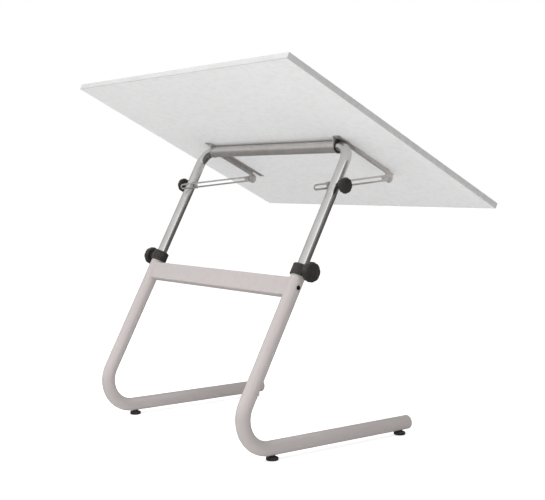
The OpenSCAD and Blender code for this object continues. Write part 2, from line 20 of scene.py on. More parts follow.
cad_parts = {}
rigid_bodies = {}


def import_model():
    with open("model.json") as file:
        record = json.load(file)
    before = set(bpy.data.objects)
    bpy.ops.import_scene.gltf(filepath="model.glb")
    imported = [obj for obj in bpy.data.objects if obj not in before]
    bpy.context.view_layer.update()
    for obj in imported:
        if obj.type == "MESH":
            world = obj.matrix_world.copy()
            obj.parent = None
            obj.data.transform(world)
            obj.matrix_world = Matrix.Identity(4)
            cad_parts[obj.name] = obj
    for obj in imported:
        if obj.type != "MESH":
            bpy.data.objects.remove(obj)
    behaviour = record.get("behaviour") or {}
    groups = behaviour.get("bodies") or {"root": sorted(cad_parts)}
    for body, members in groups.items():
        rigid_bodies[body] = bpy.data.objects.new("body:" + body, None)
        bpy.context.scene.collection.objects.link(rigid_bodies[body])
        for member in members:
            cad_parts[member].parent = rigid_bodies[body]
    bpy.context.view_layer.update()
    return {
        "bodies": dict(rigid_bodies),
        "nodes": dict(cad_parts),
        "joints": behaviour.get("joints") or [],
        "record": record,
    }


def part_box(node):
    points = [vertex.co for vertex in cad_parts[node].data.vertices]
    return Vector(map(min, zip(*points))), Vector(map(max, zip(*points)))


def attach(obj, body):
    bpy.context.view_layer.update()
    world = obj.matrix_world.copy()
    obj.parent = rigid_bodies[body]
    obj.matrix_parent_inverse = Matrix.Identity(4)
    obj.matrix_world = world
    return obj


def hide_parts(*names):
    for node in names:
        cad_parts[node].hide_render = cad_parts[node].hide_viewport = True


LOG = logging.getLogger("drafting_table")
MM = 0.001
TURN = 2 * math.pi
TINY = 1e-7
WELD = 2e-6
DUST = (0.62, 0.6, 0.57)

Rgb = tuple[float, float, float]
Flat = tuple[float, float]


class Side(Enum):
    """The two mirrored halves of the stand."""

    LEFT = -1
    RIGHT = 1

    @property
    def label(self) -> str:
        """Word used in the names of this side's pieces."""
        return self.name.lower()


class Slot(Enum):
    """Material slots of the record."""

    PAINT = "painted_steel"
    CHROME = "chrome"
    PLASTIC = "black_plastic"
    BLACK_STEEL = "black_screw"
    ZINC = "zinc_steel"
    BRASS = "brass"
    CHIPBOARD = "chipboard"
    LAMINATE = "white_laminate"
    BAND = "edge_pvc"


# ---------------------------------------------------------------- plan of the table


@dataclass(frozen=True)
class Plan:
    """Main axes and sizes of the table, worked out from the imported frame."""

    nodes: dict[str, bpy.types.Object]
    joints: dict[str, dict[str, Any]]
    half_gauge: float
    lean: float
    tilt: float
    leg_r: float
    runner_z: float
    corner_y: float
    bar_y: float
    bar_z: float

    @classmethod
    def from_frame(cls, frame: dict[str, Any]) -> "Plan":
        """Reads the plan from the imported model.


        Returns:
            The plan of the table at rest.
        """
        joints = {joint["name"]: joint for joint in frame["joints"]}
        slide = joints["height_slide"]["axis"]
        lean = math.atan2(-slide[1], slide[2])
        mounts = {mount["name"]: mount for mount in frame["record"]["mounts"]}
        work = mounts["work_surface"]["axis"]
        bar = joints["board_tilt"]["pos_m"]
        low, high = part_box("leg_tube_right")
        leg_r = (high.x - low.x) / 2
        runner_z = low.z + leg_r
        return cls(
            nodes=frame["nodes"],
            joints=joints,
            half_gauge=(high.x + low.x) / 2,
            lean=lean,
            tilt=math.atan2(-work[1], work[2]),
            leg_r=leg_r,
            runner_z=runner_z,
            corner_y=bar[1] + math.tan(lean) * (bar[2] - runner_z),
            bar_y=bar[1],
            bar_z=bar[2],
        )

    def mirror(self, side: Side) -> Matrix:
        """Turns right-hand coordinates into those of a side."""
        return Matrix.Diagonal((side.value, 1, 1, 1))

    def on_side(self, side: Side, origin: Vector, angle: float) -> Matrix:
        """Frame on a side, from its right-hand origin and its turn about the X axis."""
        turn = Matrix.Rotation(angle, 4, "X")
        return self.mirror(side) @ Matrix.Translation(origin) @ turn

    def on_leg(self, side: Side, up: float) -> Matrix:
        """Frame on a leg's axis: +Z runs up the leg and +X points outward.

        Args:
            side: which leg.
            up: distance up the leg from its corner with the runner.

        Returns:
            The frame as a matrix.
        """
        origin = Vector(
            (
                self.half_gauge,
                self.corner_y - math.sin(self.lean) * up,
                self.runner_z + math.cos(self.lean) * up,
            )
        )
        return self.on_side(side, origin, self.lean)

    def on_bar(self, angle: float) -> Matrix:
        """Frame with its origin on the hinge bar, turned about it by an angle."""
        place = Matrix.Translation((0, self.bar_y, self.bar_z))
        return place @ Matrix.Rotation(angle, 4, "X")

    def on_board(self) -> Matrix:
        """Frame of the board: +Y runs up the slope."""
        return self.on_bar(self.tilt)

    def on_strut(self, side: Side) -> Matrix:
        """Frame of a strut: origin on its pivot pin, +Y towards the tilt bolt.

        Args:
            side: which side of the table.

        Returns:
            The frame as a matrix.
        """
        low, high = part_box(f"pivot_pin_{side.label}")
        axis = self.joints[f"strut_slide_{side.label}"]["axis"]
        middle = self.box_in(f"strut_{side.label}", Matrix.Identity(4))
        origin = Vector(
            (abs(middle[0].x + middle[1].x) / 2, (low.y + high.y) / 2, (low.z + high.z) / 2)
        )
        return self.on_side(side, origin, math.atan2(axis[2], axis[1]))

    def up_leg(self, joint: str) -> float:
        """Distance up the leg from its corner to a joint's place."""
        return (self.joints[joint]["pos_m"][2] - self.runner_z) / math.cos(self.lean)

    def up_mid(self, node: str) -> float:
        """Distance up the legs at the middle height of a CAD node."""
        low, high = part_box(node)
        return ((low.z + high.z) / 2 - self.runner_z) / math.cos(self.lean)

    def box_in(
        self, node: str, frame: Matrix, side: Side | None = None
    ) -> tuple[Vector, Vector]:
        """Box of a CAD node, measured in another frame.

        Args:
            node: name of the CAD node.
            frame: the frame to measure in.
            side: measures only the half of the node that lies on this side.

        Returns:
            The lowest and the highest corner in that frame.
        """
        inverse = frame.inverted()
        points = [
            inverse @ vertex.co
            for vertex in self.nodes[node].data.vertices
            if side is None or vertex.co.x * side.value > 0
        ]
        low = Vector([min(p[i] for p in points) for i in range(3)])
        high = Vector([max(p[i] for p in points) for i in range(3)])
        return low, high


# ---------------------------------------------------------------- shapes


@dataclass
class Shell:
    """Points and faces of one piece while it is being shaped."""

    points: list[Vector] = field(default_factory=list)
    faces: list[tuple[int, ...]] = field(default_factory=list)

    def add_ring(self, ring: Iterable[Vector]) -> list[int]:
        """Adds a row of points and returns their numbers.

        Args:
            ring: the points in order.

        Returns:
            Their numbers in the shell.
        """
        start = len(self.points)
        self.points.extend(Vector(p) for p in ring)
        return list(range(start, len(self.points)))

    def bridge(self, first: Sequence[int], second: Sequence[int]) -> None:
        """Joins two closed rings of one length, or a ring and a single point.

        Args:
            first: numbers of the first ring.
            second: numbers of the second ring.
        """
        count = max(len(first), len(second))
        for i in range(count):
            j = (i + 1) % count
            if len(first) == 1:
                self.faces.append((first[0], second[j], second[i]))
            elif len(second) == 1:
                self.faces.append((first[i], first[j], second[0]))
            else:
                self.faces.append((first[i], first[j], second[j], second[i]))

    def skin(self, rings: Sequence[Sequence[Vector]], closed: bool = False) -> "Shell":
        """Skins a row of rings.

        Args:
            rings: rings of equal length, or single points at the poles.
            closed: joins the last ring to the first one.

        Returns:
            This shell.
        """
        numbers = [self.add_ring(ring) for ring in rings]
        for first, second in zip(numbers, numbers[1:]):
            self.bridge(first, second)
        if closed:
            self.bridge(numbers[-1], numbers[0])
        return self

    def build(
        self, name: str, frame: Matrix | None = None, sharp: float = 32.0
    ) -> bpy.types.Object:
        """Makes the Blender object.

        Args:
            name: name of the piece.
            frame: frame that the points are in.
            sharp: edges that turn by more than this angle stay crisp, in degrees.

        Returns:
            The new object, linked to the scene.
        """
        mesh = bpy.data.meshes.new(name)
        frame = frame or Matrix.Identity(4)
        mesh.from_pydata([frame @ p for p in self.points], [], self.faces)
        return settle(name, mesh, sharp)


def link(item: bpy.types.Object) -> None:
    """Puts an object in the scene."""
    bpy.context.scene.collection.objects.link(item)


def settle(
    name: str, mesh: bpy.types.Mesh, sharp: float = 32.0, merge: float = 1e-6
) -> bpy.types.Object:
    """Cleans a mesh, points its faces outward, shades it and links it as an object.

    Args:
        name: name of the piece.
        mesh: the mesh as it was made.
        sharp: edges that turn by more than this angle stay crisp, in degrees.
        merge: points closer than this become one.

    Returns:
        The piece.
    """
    work = bmesh.new()
    work.from_mesh(mesh)
    bmesh.ops.remove_doubles(work, verts=work.verts, dist=merge)
    bmesh.ops.dissolve_degenerate(work, edges=work.edges, dist=merge)
    bmesh.ops.recalc_face_normals(work, faces=work.faces)
    work.to_mesh(mesh)
    work.free()
    mesh.shade_smooth()
    mesh.set_sharp_from_angle(angle=math.radians(sharp))
    piece = bpy.data.objects.new(name, mesh)
    link(piece)
    return piece


def polar(radius: float, angle: float, z: float = 0.0) -> Vector:
    """A point at a radius and an angle about the Z axis."""
    return Vector((radius * math.cos(angle), radius * math.sin(angle), z))


def circle(radius: float, steps: int, z: float = 0.0) -> list[Vector]:
    """A ring of points about the Z axis."""
    return [polar(radius, TURN * i / steps, z) for i in range(steps)]


def hoop(
    centre: Vector, radius: float, first: Vector, second: Vector, steps: int
) -> list[Vector]:
    """A ring of points about a centre, in the plane of two directions."""
    turns = [TURN * k / steps for k in range(steps)]
    return [centre + radius * (math.cos(t) * first + math.sin(t) * second) for t in turns]


def dome(radius: float, foot: float, rise: float) -> list[Flat]:
    """Profile of a low dome on a given height, from its rim almost to its pole."""
    turns = [math.pi / 2 * k / 8 for k in range(8)]
    return [(radius * math.cos(t), foot + rise * math.sin(t)) for t in turns]


def rounded(
    corners: Sequence[Flat],
    radii: float | Sequence[float],
    steps: int = 4,
    closed: bool = True,
) -> list[Flat]:
    """Rounds the corners of a flat outline.

    Args:
        corners: the outline's corners in order.
        radii: one radius for all the corners, or one for each.
        steps: points along each rounded corner, less one.
        closed: whether the last corner joins the first.

    Returns:
        The outline with an arc in place of each corner.
    """
    count = len(corners)
    each = [radii] * count if isinstance(radii, (int, float)) else list(radii)
    line: list[Flat] = []
    for i, corner in enumerate(corners):
        here = Vector(corner)
        if each[i] <= 0 or (not closed and i in (0, count - 1)):
            line.append((here.x, here.y))
            continue
        before = Vector(corners[i - 1]) - here
        after = Vector(corners[(i + 1) % count]) - here
        half = before.angle(after) / 2
        reach = min(each[i] / math.tan(half), before.length * 0.499, after.length * 0.499)
        start = here + before.normalized() * reach
        end = here + after.normalized() * reach
        for k in range(steps + 1):
            t = k / steps
            point = start * (1 - t) ** 2 + here * 2 * t * (1 - t) + end * t**2
            line.append((point.x, point.y))
    return line


def turned(profile: Sequence[Flat], steps: int = 48, closed: bool = False) -> Shell:
    """Turns a profile about the Z axis.

    Args:
        profile: points as (radius, height); radius 0 is a pole.
        steps: points around.
        closed: the profile is a loop, as for a washer.

    Returns:
        The shell.
    """
    rings = [[Vector((0, 0, z))] if r < TINY else circle(r, steps, z) for r, z in profile]
    return Shell().skin(rings, closed)


def ribbed(
    profile: Sequence[Flat],
    steps: int,
    ribs: int,
    power: int,
    depth_at: Callable[[float], float],
) -> Shell:
    """Turns a profile about the Z axis, with grooves round its rim.

    Args:
        profile: points as (radius, height); radius 0 is a pole.
        steps: points around.
        ribs: number of grooves.
        power: how narrow a groove is.
        depth_at: depth of a groove at a radius.

    Returns:
        The shell.
    """
    rings = []
    turns = [TURN * k / steps for k in range(steps)]
    for r, z in profile:
        if r < TINY:
            rings.append([Vector((0, 0, z))])
            continue
        deep = depth_at(r)
        dips = [max(math.cos(ribs * turn), 0.0) ** power * deep for turn in turns]
        rings.append([polar(r - dip, turn, z) for dip, turn in zip(dips, turns)])
    return Shell().skin(rings)


def swept(
    path: Sequence[Vector], radii: Sequence[float], steps: int, side: Vector
) -> list[list[Vector]]:
    """Rings of a round section along a flat path.

    Args:
        path: points of the centreline, all in one plane.
        radii: radius at each point.
        steps: points around.
        side: the normal of the path's plane.

    Returns:
        One ring of points for each point of the path.
    """
    rings = []
    last = len(path) - 1
    for i, point in enumerate(path):
        along = (path[min(i + 1, last)] - path[max(i - 1, 0)]).normalized()
        normal = along.cross(side).normalized()
        rings.append(hoop(point, radii[i], side, normal, steps))
    return rings


def bent_tube(
    path: Sequence[Vector],
    outer: float,
    inner: float,
    side: Vector,
    steps: int = 56,
    lip: float = 0.4 * MM,
) -> Shell:
    """A hollow tube along a flat path, with softened rims.

    Args:
        path: the centreline.
        outer: outer radius.
        inner: bore radius.
        side: normal of the path's plane.
        steps: points around.
        lip: size of the chamfer on each rim.

    Returns:
        The shell, closed through its bore.
    """
    first = (path[1] - path[0]).normalized()
    last = (path[-1] - path[-2]).normalized()
    line = [path[0], path[0] + first * lip, *path[1:-1], path[-1] - last * lip, path[-1]]
    width = [outer - lip, *[outer] * (len(line) - 2), outer - lip]
    outside = swept(line, width, steps, side)
    inside = swept(line, [inner] * len(line), steps, side)
    return Shell().skin(outside + inside[::-1], closed=True)


def baked(name: str, item: bpy.types.Object) -> bpy.types.Mesh:
    """Gives the finished mesh of a curve or a modified object and removes that object.

    Args:
        name: name of the mesh.
        item: the curve or the modified object.

    Returns:
        The finished mesh.
    """
    bpy.context.view_layer.update()
    graph = bpy.context.evaluated_depsgraph_get()
    mesh = bpy.data.meshes.new_from_object(item.evaluated_get(graph))
    bpy.data.objects.remove(item)
    mesh.name = name
    return mesh


def plate(
    name: str,
    loops: Sequence[Sequence[Flat]],
    thickness: float,
    frame: Matrix,
    edge: float = 0.3 * MM,
) -> bpy.types.Object:
    """A flat plate with holes and softened edges.

    Args:
        name: name of the piece.
        loops: the outline first, then the holes, in the frame's X and Y.
        thickness: full thickness along the frame's Z, centred on it.
        frame: where the plate goes.
        edge: size of the softened edge.

    Returns:
        The plate as a mesh object.
    """
    curve = bpy.data.curves.new(name, "CURVE")
    curve.dimensions = "2D"
    curve.fill_mode = "BOTH"
    curve.extrude = thickness / 2 - edge
    curve.bevel_depth = edge
    curve.bevel_resolution = 1
    curve.offset = -edge
    for loop in loops:
        spline = curve.splines.new("POLY")
        spline.points.add(len(loop) - 1)
        for point, (x, y) in zip(spline.points, loop):
            point.co = (x, y, 0, 1)
        spline.use_cyclic_u = True
    holder = bpy.data.objects.new(name + "_curve", curve)
    link(holder)
    mesh = baked(name, holder)
    mesh.transform(frame)
    return settle(name, mesh, 40.0, WELD)


def apply_modifiers(piece: bpy.types.Object, sharp: float = 32.0) -> bpy.types.Object:
    """Bakes a piece's modifiers into its mesh and shades it again."""
    name = piece.name
    return settle(name, baked(name, piece), sharp)


def copied(name: str, source: bpy.types.Object) -> bpy.types.Object:
    """Copies a CAD node's mesh, with its split corners joined and flat faces merged.

    Args:
        name: name of the piece.
        source: the CAD node.

    Returns:
        The copy.
    """
    work = bmesh.new()
    work.from_mesh(source.data)
    bmesh.ops.remove_doubles(work, verts=work.verts, dist=WELD)
    bmesh.ops.dissolve_limit(
        work,
        angle_limit=math.radians(0.6),
        verts=work.verts,
        edges=work.edges,
        use_dissolve_boundaries=False,
    )
    mesh = bpy.data.meshes.new(name)
    work.to_mesh(mesh)
    work.free()
    return settle(name, mesh)


def softened(name: str, source: bpy.types.Object, width: float) -> bpy.types.Object:
    """Copies a CAD node and breaks its edges, so that they catch the light.

    Args:
        name: name of the piece.
        source: the CAD node.
        width: width of the broken edge.

    Returns:
        The piece.
    """
    piece = copied(name, source)
    bevel = piece.modifiers.new("edges", "BEVEL")
    bevel.width = width
    bevel.segments = 2
    bevel.use_clamp_overlap = True
    bevel.limit_method = "ANGLE"
    bevel.angle_limit = math.radians(38)
    return apply_modifiers(piece)


def moulded(name: str, source: bpy.types.Object, voxel: float) -> bpy.types.Object:
    """Copies a CAD node and melts its edges into the soft ones of a moulding.

    Args:
        name: name of the piece.
        source: the CAD node.
        voxel: grid size of the remesh.

    Returns:
        The piece.
    """
    piece = copied(name, source)
    remesh = piece.modifiers.new("remesh", "REMESH")
    remesh.mode = "VOXEL"
    remesh.voxel_size = voxel
    smooth = piece.modifiers.new("smooth", "SMOOTH")
    smooth.factor = 0.5
    smooth.iterations = 5
    return apply_modifiers(piece, 60.0)


def cut(piece: bpy.types.Object, tool: bpy.types.Object) -> bpy.types.Object:
    """Cuts one mesh out of another and removes the tool.

    Args:
        piece: the piece to cut.
        tool: the mesh that is taken away.

    Returns:
        The piece with its cut.
    """
    knife = piece.modifiers.new("cut", "BOOLEAN")
    knife.operation = "DIFFERENCE"
    knife.solver = "EXACT"
    knife.object = tool
    made = apply_modifiers(piece)
    bpy.data.objects.remove(tool)
    return made


# ---------------------------------------------------------------- finishes


class Wiring:
    """Places and joins the nodes of one material or node group."""

    def __init__(self, tree: bpy.types.NodeTree) -> None:
        """Starts on an empty tree.

        Args:
            tree: the tree to fill.
        """
        self.tree = tree
        tree.nodes.clear()

    def add(
        self, kind: str, inputs: dict[Any, Any] | None = None, **options: Any
    ) -> bpy.types.Node:
        """Adds a node.

        Args:
            kind: the node's type, without its ShaderNode prefix unless it has none.
            inputs: values or sockets for its inputs, by name or number.
            **options: the node's own properties.

        Returns:
            The node.
        """
        full = kind if kind.startswith("Node") else "ShaderNode" + kind
        node = self.tree.nodes.new(full)
        for key, value in options.items():
            setattr(node, key, value)
        for key, value in (inputs or {}).items():
            self.feed(node.inputs[key], value)
        return node

    def feed(self, socket: bpy.types.NodeSocket, value: Any) -> None:
        """Links a socket to another node's output, or sets its value.

        Args:
            socket: an input.
            value: an output to link, or a plain value.
        """
        if isinstance(value, bpy.types.NodeSocket):
            self.tree.links.new(value, socket)
        else:
            socket.default_value = value

    def maths(self, operation: str, *values: Any, clamp: bool = False) -> Any:
        """Adds a math node and returns its output.

        Args:
            operation: Blender's name for the operation.
            *values: numbers or outputs.
            clamp: keeps the result between 0 and 1.

        Returns:
            The output.
        """
        node = self.add(
            "Math", dict(enumerate(values)), operation=operation, use_clamp=clamp
        )
        return node.outputs[0]

    def ramp(self, value: Any, low: float, high: float, to: Flat = (0.0, 1.0)) -> Any:
        """Maps a value smoothly from one range to another and returns the output.

        Args:
            value: number or output to map.
            low: where the first range starts.
            high: where the first range ends.
            to: the range that it is mapped to.

        Returns:
            The output.
        """
        node = self.add(
            "MapRange",
            {0: value, 1: low, 2: high, 3: to[0], 4: to[1]},
            interpolation_type="SMOOTHSTEP",
        )
        return node.outputs[0]

    def place(self) -> Any:
        """Gives the coordinates of the object."""
        return self.add("TexCoord").outputs["Object"]

    def noise(self, place: Any, scale: Any, detail: float, rough: Any = 0.5) -> Any:
        """Adds a noise texture and returns its value."""
        inputs = {"Vector": place, "Scale": scale, "Detail": detail, "Roughness": rough}
        return self.add("TexNoise", inputs).outputs["Fac"]

    def blend(self, share: Any, first: Any, second: Any) -> Any:
        """Mixes two colours and returns the output.

        Args:
            share: how much of the second colour there is, from 0 to 1.
            first: a colour or an output.
            second: a colour or an output.

        Returns:
            The output.
        """
        ends = [
            tone if isinstance(tone, bpy.types.NodeSocket) else (*tone, 1.0)
            for tone in (first, second)
        ]
        inputs = {0: share, 6: ends[0], 7: ends[1]}
        return self.add("Mix", inputs, data_type="RGBA").outputs[2]

    def group(self, tree: bpy.types.NodeTree, **values: Any) -> bpy.types.Node:
        """Places a node group with its own values, by the names of its inputs.

        Args:
            tree: the node group.
            **values: values or outputs for its inputs.

        Returns:
            The node.
        """
        node = self.add("Group", node_tree=tree)
        for key, value in values.items():
            self.feed(node.inputs[key.replace("_", " ").title()], value)
        return node


@dataclass(frozen=True)
class Effects:
    """Node groups that the finishes share."""

    grain: bpy.types.NodeTree
    hairlines: bpy.types.NodeTree
    edge_wear: bpy.types.NodeTree
    dust: bpy.types.NodeTree

    @staticmethod
    def _start(
        name: str, inputs: dict[str, float], outputs: Sequence[str]
    ) -> tuple[bpy.types.NodeTree, Wiring, bpy.types.Node, bpy.types.Node]:
        """Starts a group with float sockets and returns its parts.

        Args:
            name: name of the group.
            inputs: its inputs with their first values.
            outputs: names of its outputs.

        Returns:
            The tree, its wiring, and the nodes that hold its inputs and outputs.
        """
        tree = bpy.data.node_groups.new(name, "ShaderNodeTree")
        for key, value in inputs.items():
            socket = tree.interface.new_socket(
                key, in_out="INPUT", socket_type="NodeSocketFloat"
            )
            socket.default_value = value
        for key in outputs:
            tree.interface.new_socket(key, in_out="OUTPUT", socket_type="NodeSocketFloat")
        wiring = Wiring(tree)
        entry = wiring.add("NodeGroupInput")
        leave = wiring.add("NodeGroupOutput")
        return tree, wiring, entry, leave

    @classmethod
    def build(cls) -> "Effects":
        """Builds the four groups once."""
        return cls(cls._grain(), cls._hairlines(), cls._edge_wear(), cls._dust())

    @classmethod
    def _grain(cls) -> bpy.types.NodeTree:
        """Fine surface texture with a slow drift of tone over it.

        Returns:
            The group.
        """
        tree, w, entry, leave = cls._start(
            "fine_grain",
            {"Scale": 900.0, "Drift": 9.0, "Crispness": 0.6},
            ("Height", "Tone"),
        )
        place = w.place()
        crisp = entry.outputs["Crispness"]
        fine = w.noise(place, entry.outputs["Scale"], 3.0, crisp)
        slow = w.noise(place, entry.outputs["Drift"], 4.0, 0.55)
        w.feed(leave.inputs["Height"], fine)
        w.feed(leave.inputs["Tone"], w.ramp(slow, 0.3, 0.7))
        return tree

    @classmethod
    def _hairlines(cls) -> bpy.types.NodeTree:
        """Long faint lines that run along a part leaning about the X axis.

        Returns:
            The group.
        """
        tree, w, entry, leave = cls._start(
            "hairlines",
            {"Scale": 400.0, "Stretch": 0.02, "Lean": 0.0, "Cover": 0.5},
            ("Mask",),
        )
        place = w.place()
        back = w.maths("MULTIPLY", entry.outputs["Lean"], -1.0)
        turned = {"Vector": place, "Angle": back}
        turn = w.add("VectorRotate", turned, rotation_type="X_AXIS")
        across = entry.outputs["Scale"]
        along = w.maths("MULTIPLY", across, entry.outputs["Stretch"])
        sizes = w.add("CombineXYZ", {0: across, 1: across, 2: along})
        scaled = w.add(
            "VectorMath", {0: turn.outputs[0], 1: sizes.outputs[0]}, operation="MULTIPLY"
        )
        lines = w.noise(scaled.outputs[0], 1.0, 3.0)
        patch = w.noise(place, 16.0, 3.0)
        start, end = (
            w.maths("SUBTRACT", least, entry.outputs["Cover"]) for least in (1.0, 1.2)
        )
        sharp = w.ramp(lines, 0.56, 0.7)
        mask = w.maths("MULTIPLY", sharp, w.ramp(patch, start, end), clamp=True)
        w.feed(leave.inputs["Mask"], mask)
        return tree

    @classmethod
    def _edge_wear(cls) -> bpy.types.NodeTree:
        """Mask of the outward edges, broken up by noise.

        Returns:
            The group.
        """
        tree, w, entry, leave = cls._start(
            "edge_wear", {"Start": 0.53, "Breakup": 60.0}, ("Mask",)
        )
        pointed = w.add("NewGeometry").outputs["Pointiness"]
        place = w.place()
        start = entry.outputs["Start"]
        edge = w.ramp(pointed, start, w.maths("ADD", start, 0.07))
        broken = w.ramp(w.noise(place, entry.outputs["Breakup"], 5.0), 0.45, 0.62)
        w.feed(leave.inputs["Mask"], w.maths("MULTIPLY", edge, broken, clamp=True))
        return tree

    @classmethod
    def _dust(cls) -> bpy.types.NodeTree:
        """Mask of the faces that look up, where a little dust settles.

        Returns:
            The group.
        """
        tree, w, entry, leave = cls._start(
            "settled_dust", {"Amount": 0.3, "Scale": 30.0}, ("Mask",)
        )
        normal = w.add("NewGeometry").outputs["Normal"]
        parts = w.add("SeparateXYZ", {0: normal})
        place = w.place()
        up = w.ramp(parts.outputs[2], 0.25, 0.95)
        cloud = w.ramp(w.noise(place, entry.outputs["Scale"], 6.0), 0.35, 0.75)
        amount = w.maths("MULTIPLY", entry.outputs["Amount"], up)
        w.feed(leave.inputs["Mask"], w.maths("MULTIPLY", amount, cloud, clamp=True))
        return tree


@dataclass(frozen=True)
class Finish:
    """A surface finish: two close tones, grain, edge wear and a little dust."""

    slot: Slot
    colour: Rgb
    shade: Rgb
    roughness: Flat
    worn: Rgb
    wear: float = 0.3
    dust: float = 0.1
    grain_scale: float = 900.0
    grain_depth: float = 0.02 * MM
    crispness: float = 0.6
    drift: float = 9.0
    metallic: float = 0.0
    coat: float = 0.0
    coat_roughness: float = 0.1
    specular: float = 0.5
    hairline: float = 0.0
    hairline_scale: float = 400.0
    hairline_stretch: float = 0.02
    lean: float = 0.0
    tag: str = ""

    def pattern(self, wiring: Wiring, colour: Any) -> tuple[Any, Any | None]:
        """Adds a finish's own pattern.

        Args:
            wiring: the material's wiring.
            colour: the colour so far.

        Returns:
            The colour with the pattern on it, and a height to add, if any.
        """
        return colour, None

    def build(self, effects: Effects) -> bpy.types.Material:
        """Makes the material.

        Args:
            effects: the shared node groups.

        Returns:
            The material.
        """
        material = bpy.data.materials.new(self.slot.value + self.tag)
        material.use_nodes = True
        w = Wiring(material.node_tree)
        grain = w.group(
            effects.grain,
            scale=self.grain_scale,
            drift=self.drift,
            crispness=self.crispness,
        )
        wear = w.group(effects.edge_wear)
        dust = w.group(effects.dust, amount=self.dust)
        colour = w.blend(grain.outputs["Tone"], self.colour, self.shade)
        colour, extra = self.pattern(w, colour)
        roughness = w.ramp(grain.outputs["Height"], 0.3, 0.7, self.roughness)
        height = grain.outputs["Height"]
        if self.hairline > 0:
            lines = w.group(
                effects.hairlines,
                scale=self.hairline_scale,
                stretch=self.hairline_stretch,
                lean=self.lean,
            )
            mark = w.maths("MULTIPLY", lines.outputs["Mask"], self.hairline)
            colour = w.blend(mark, colour, self.worn)
            roughness = w.maths(
                "ADD", roughness, w.maths("MULTIPLY", mark, 0.25), clamp=True
            )
        rubbed = w.maths("MULTIPLY", wear.outputs["Mask"], self.wear)
        colour = w.blend(rubbed, colour, self.worn)
        colour = w.blend(dust.outputs["Mask"], colour, DUST)
        roughness = w.maths(
            "ADD", roughness, w.maths("MULTIPLY", dust.outputs["Mask"], 0.3), clamp=True
        )
        if extra is not None:
            height = w.maths("ADD", height, extra)
        bump = w.add(
            "Bump", {"Height": height, "Distance": self.grain_depth, "Strength": 1.0}
        )
        shader = w.add(
            "BsdfPrincipled",
            {
                "Base Color": colour,
                "Roughness": roughness,
                "Normal": bump.outputs[0],
                "Metallic": self.metallic,
                "Coat Weight": self.coat,
                "Coat Roughness": self.coat_roughness,
                "Specular IOR Level": self.specular,
            },
        )
        w.add("OutputMaterial", {"Surface": shader.outputs[0]})
        return material


@dataclass(frozen=True)
class Spangled(Finish):
    """Zinc plating: soft crystals of slightly different greys under hairlines."""

    crystal: float = 120.0

    def pattern(self, wiring: Wiring, colour: Any) -> tuple[Any, Any | None]:
        """Adds the crystals.

        Args:
            wiring: the material's wiring.
            colour: the colour so far.

        Returns:
            The colour with the crystals on it, and no height.
        """
        place = wiring.place()
        cells = wiring.add("TexVoronoi", {"Vector": place, "Scale": self.crystal})
        grey = wiring.add("SeparateColor", {0: cells.outputs["Color"]})
        share = wiring.ramp(grey.outputs[0], 0.0, 1.0, (0.0, 0.28))
        return wiring.blend(share, colour, self.worn), None


@dataclass(frozen=True)
class Pressed(Finish):
    """Chipboard: flat chips of several browns pressed together."""

    chip: float = 420.0

    def pattern(self, wiring: Wiring, colour: Any) -> tuple[Any, Any | None]:
        """Adds the chips.

        Args:
            wiring: the material's wiring.
            colour: the colour so far.

        Returns:
            The colour with the chips on it, and their height.
        """
        place = wiring.place()
        squash = wiring.add("Mapping", {0: place, 3: (1.0, 0.6, 2.2)})
        cells = wiring.add(
            "TexVoronoi",
            {"Vector": squash.outputs[0], "Scale": self.chip, "Randomness": 1.0},
        )
        tone = wiring.add("SeparateColor", {0: cells.outputs["Color"]})
        edge = wiring.ramp(cells.outputs["Distance"], 0.2, 0.6, (0.0, 0.5))
        mixed = wiring.blend(tone.outputs[0], colour, self.worn)
        return wiring.blend(edge, mixed, (0.2, 0.13, 0.07)), tone.outputs[1]


@dataclass(frozen=True)
class Pearled(Finish):
    """Melamine sheet: a faint pearl grain and stray specks in the paper."""

    def pattern(self, wiring: Wiring, colour: Any) -> tuple[Any, Any | None]:
        """Adds the pearl grain and the specks.

        Args:
            wiring: the material's wiring.
            colour: the colour so far.

        Returns:
            The colour with its specks, and the height of the grain.
        """
        place = wiring.place()
        pearls = wiring.add(
            "TexVoronoi", {"Vector": place, "Scale": 520.0}, feature="SMOOTH_F1"
        )
        fleck = wiring.noise(place, 260.0, 2.0)
        mark = wiring.ramp(fleck, 0.7, 0.78, (0.0, 0.25))
        return (
            wiring.blend(mark, colour, self.worn),
            wiring.maths("MULTIPLY", pearls.outputs["Distance"], 0.8),
        )


@dataclass(frozen=True)
class Threaded(Finish):
    """Steel with a screw thread about an axis, shown by its height and by painted shade in
    its grooves.
    """

    pitch: float = 1.25 * MM
    axis: int = 2

    def pattern(self, wiring: Wiring, colour: Any) -> tuple[Any, Any | None]:
        """Adds the thread, with painted shade in its grooves.

        Args:
            wiring: the material's wiring.
            colour: the colour so far.

        Returns:
            The colour with painted shade in the thread's grooves, and its height.
        """
        place = wiring.place()
        parts = wiring.add("SeparateXYZ", {0: place})
        wave = wiring.maths(
            "SINE", wiring.maths("MULTIPLY", parts.outputs[self.axis], TURN / self.pitch)
        )
        # painted shade: the thread's grooves are darkened towards near-black, as if shade
        # fell in them
        dark = wiring.ramp(wave, -1.0, 0.2, (0.6, 0.0))
        return wiring.blend(dark, colour, (0.12, 0.115, 0.11)), wave


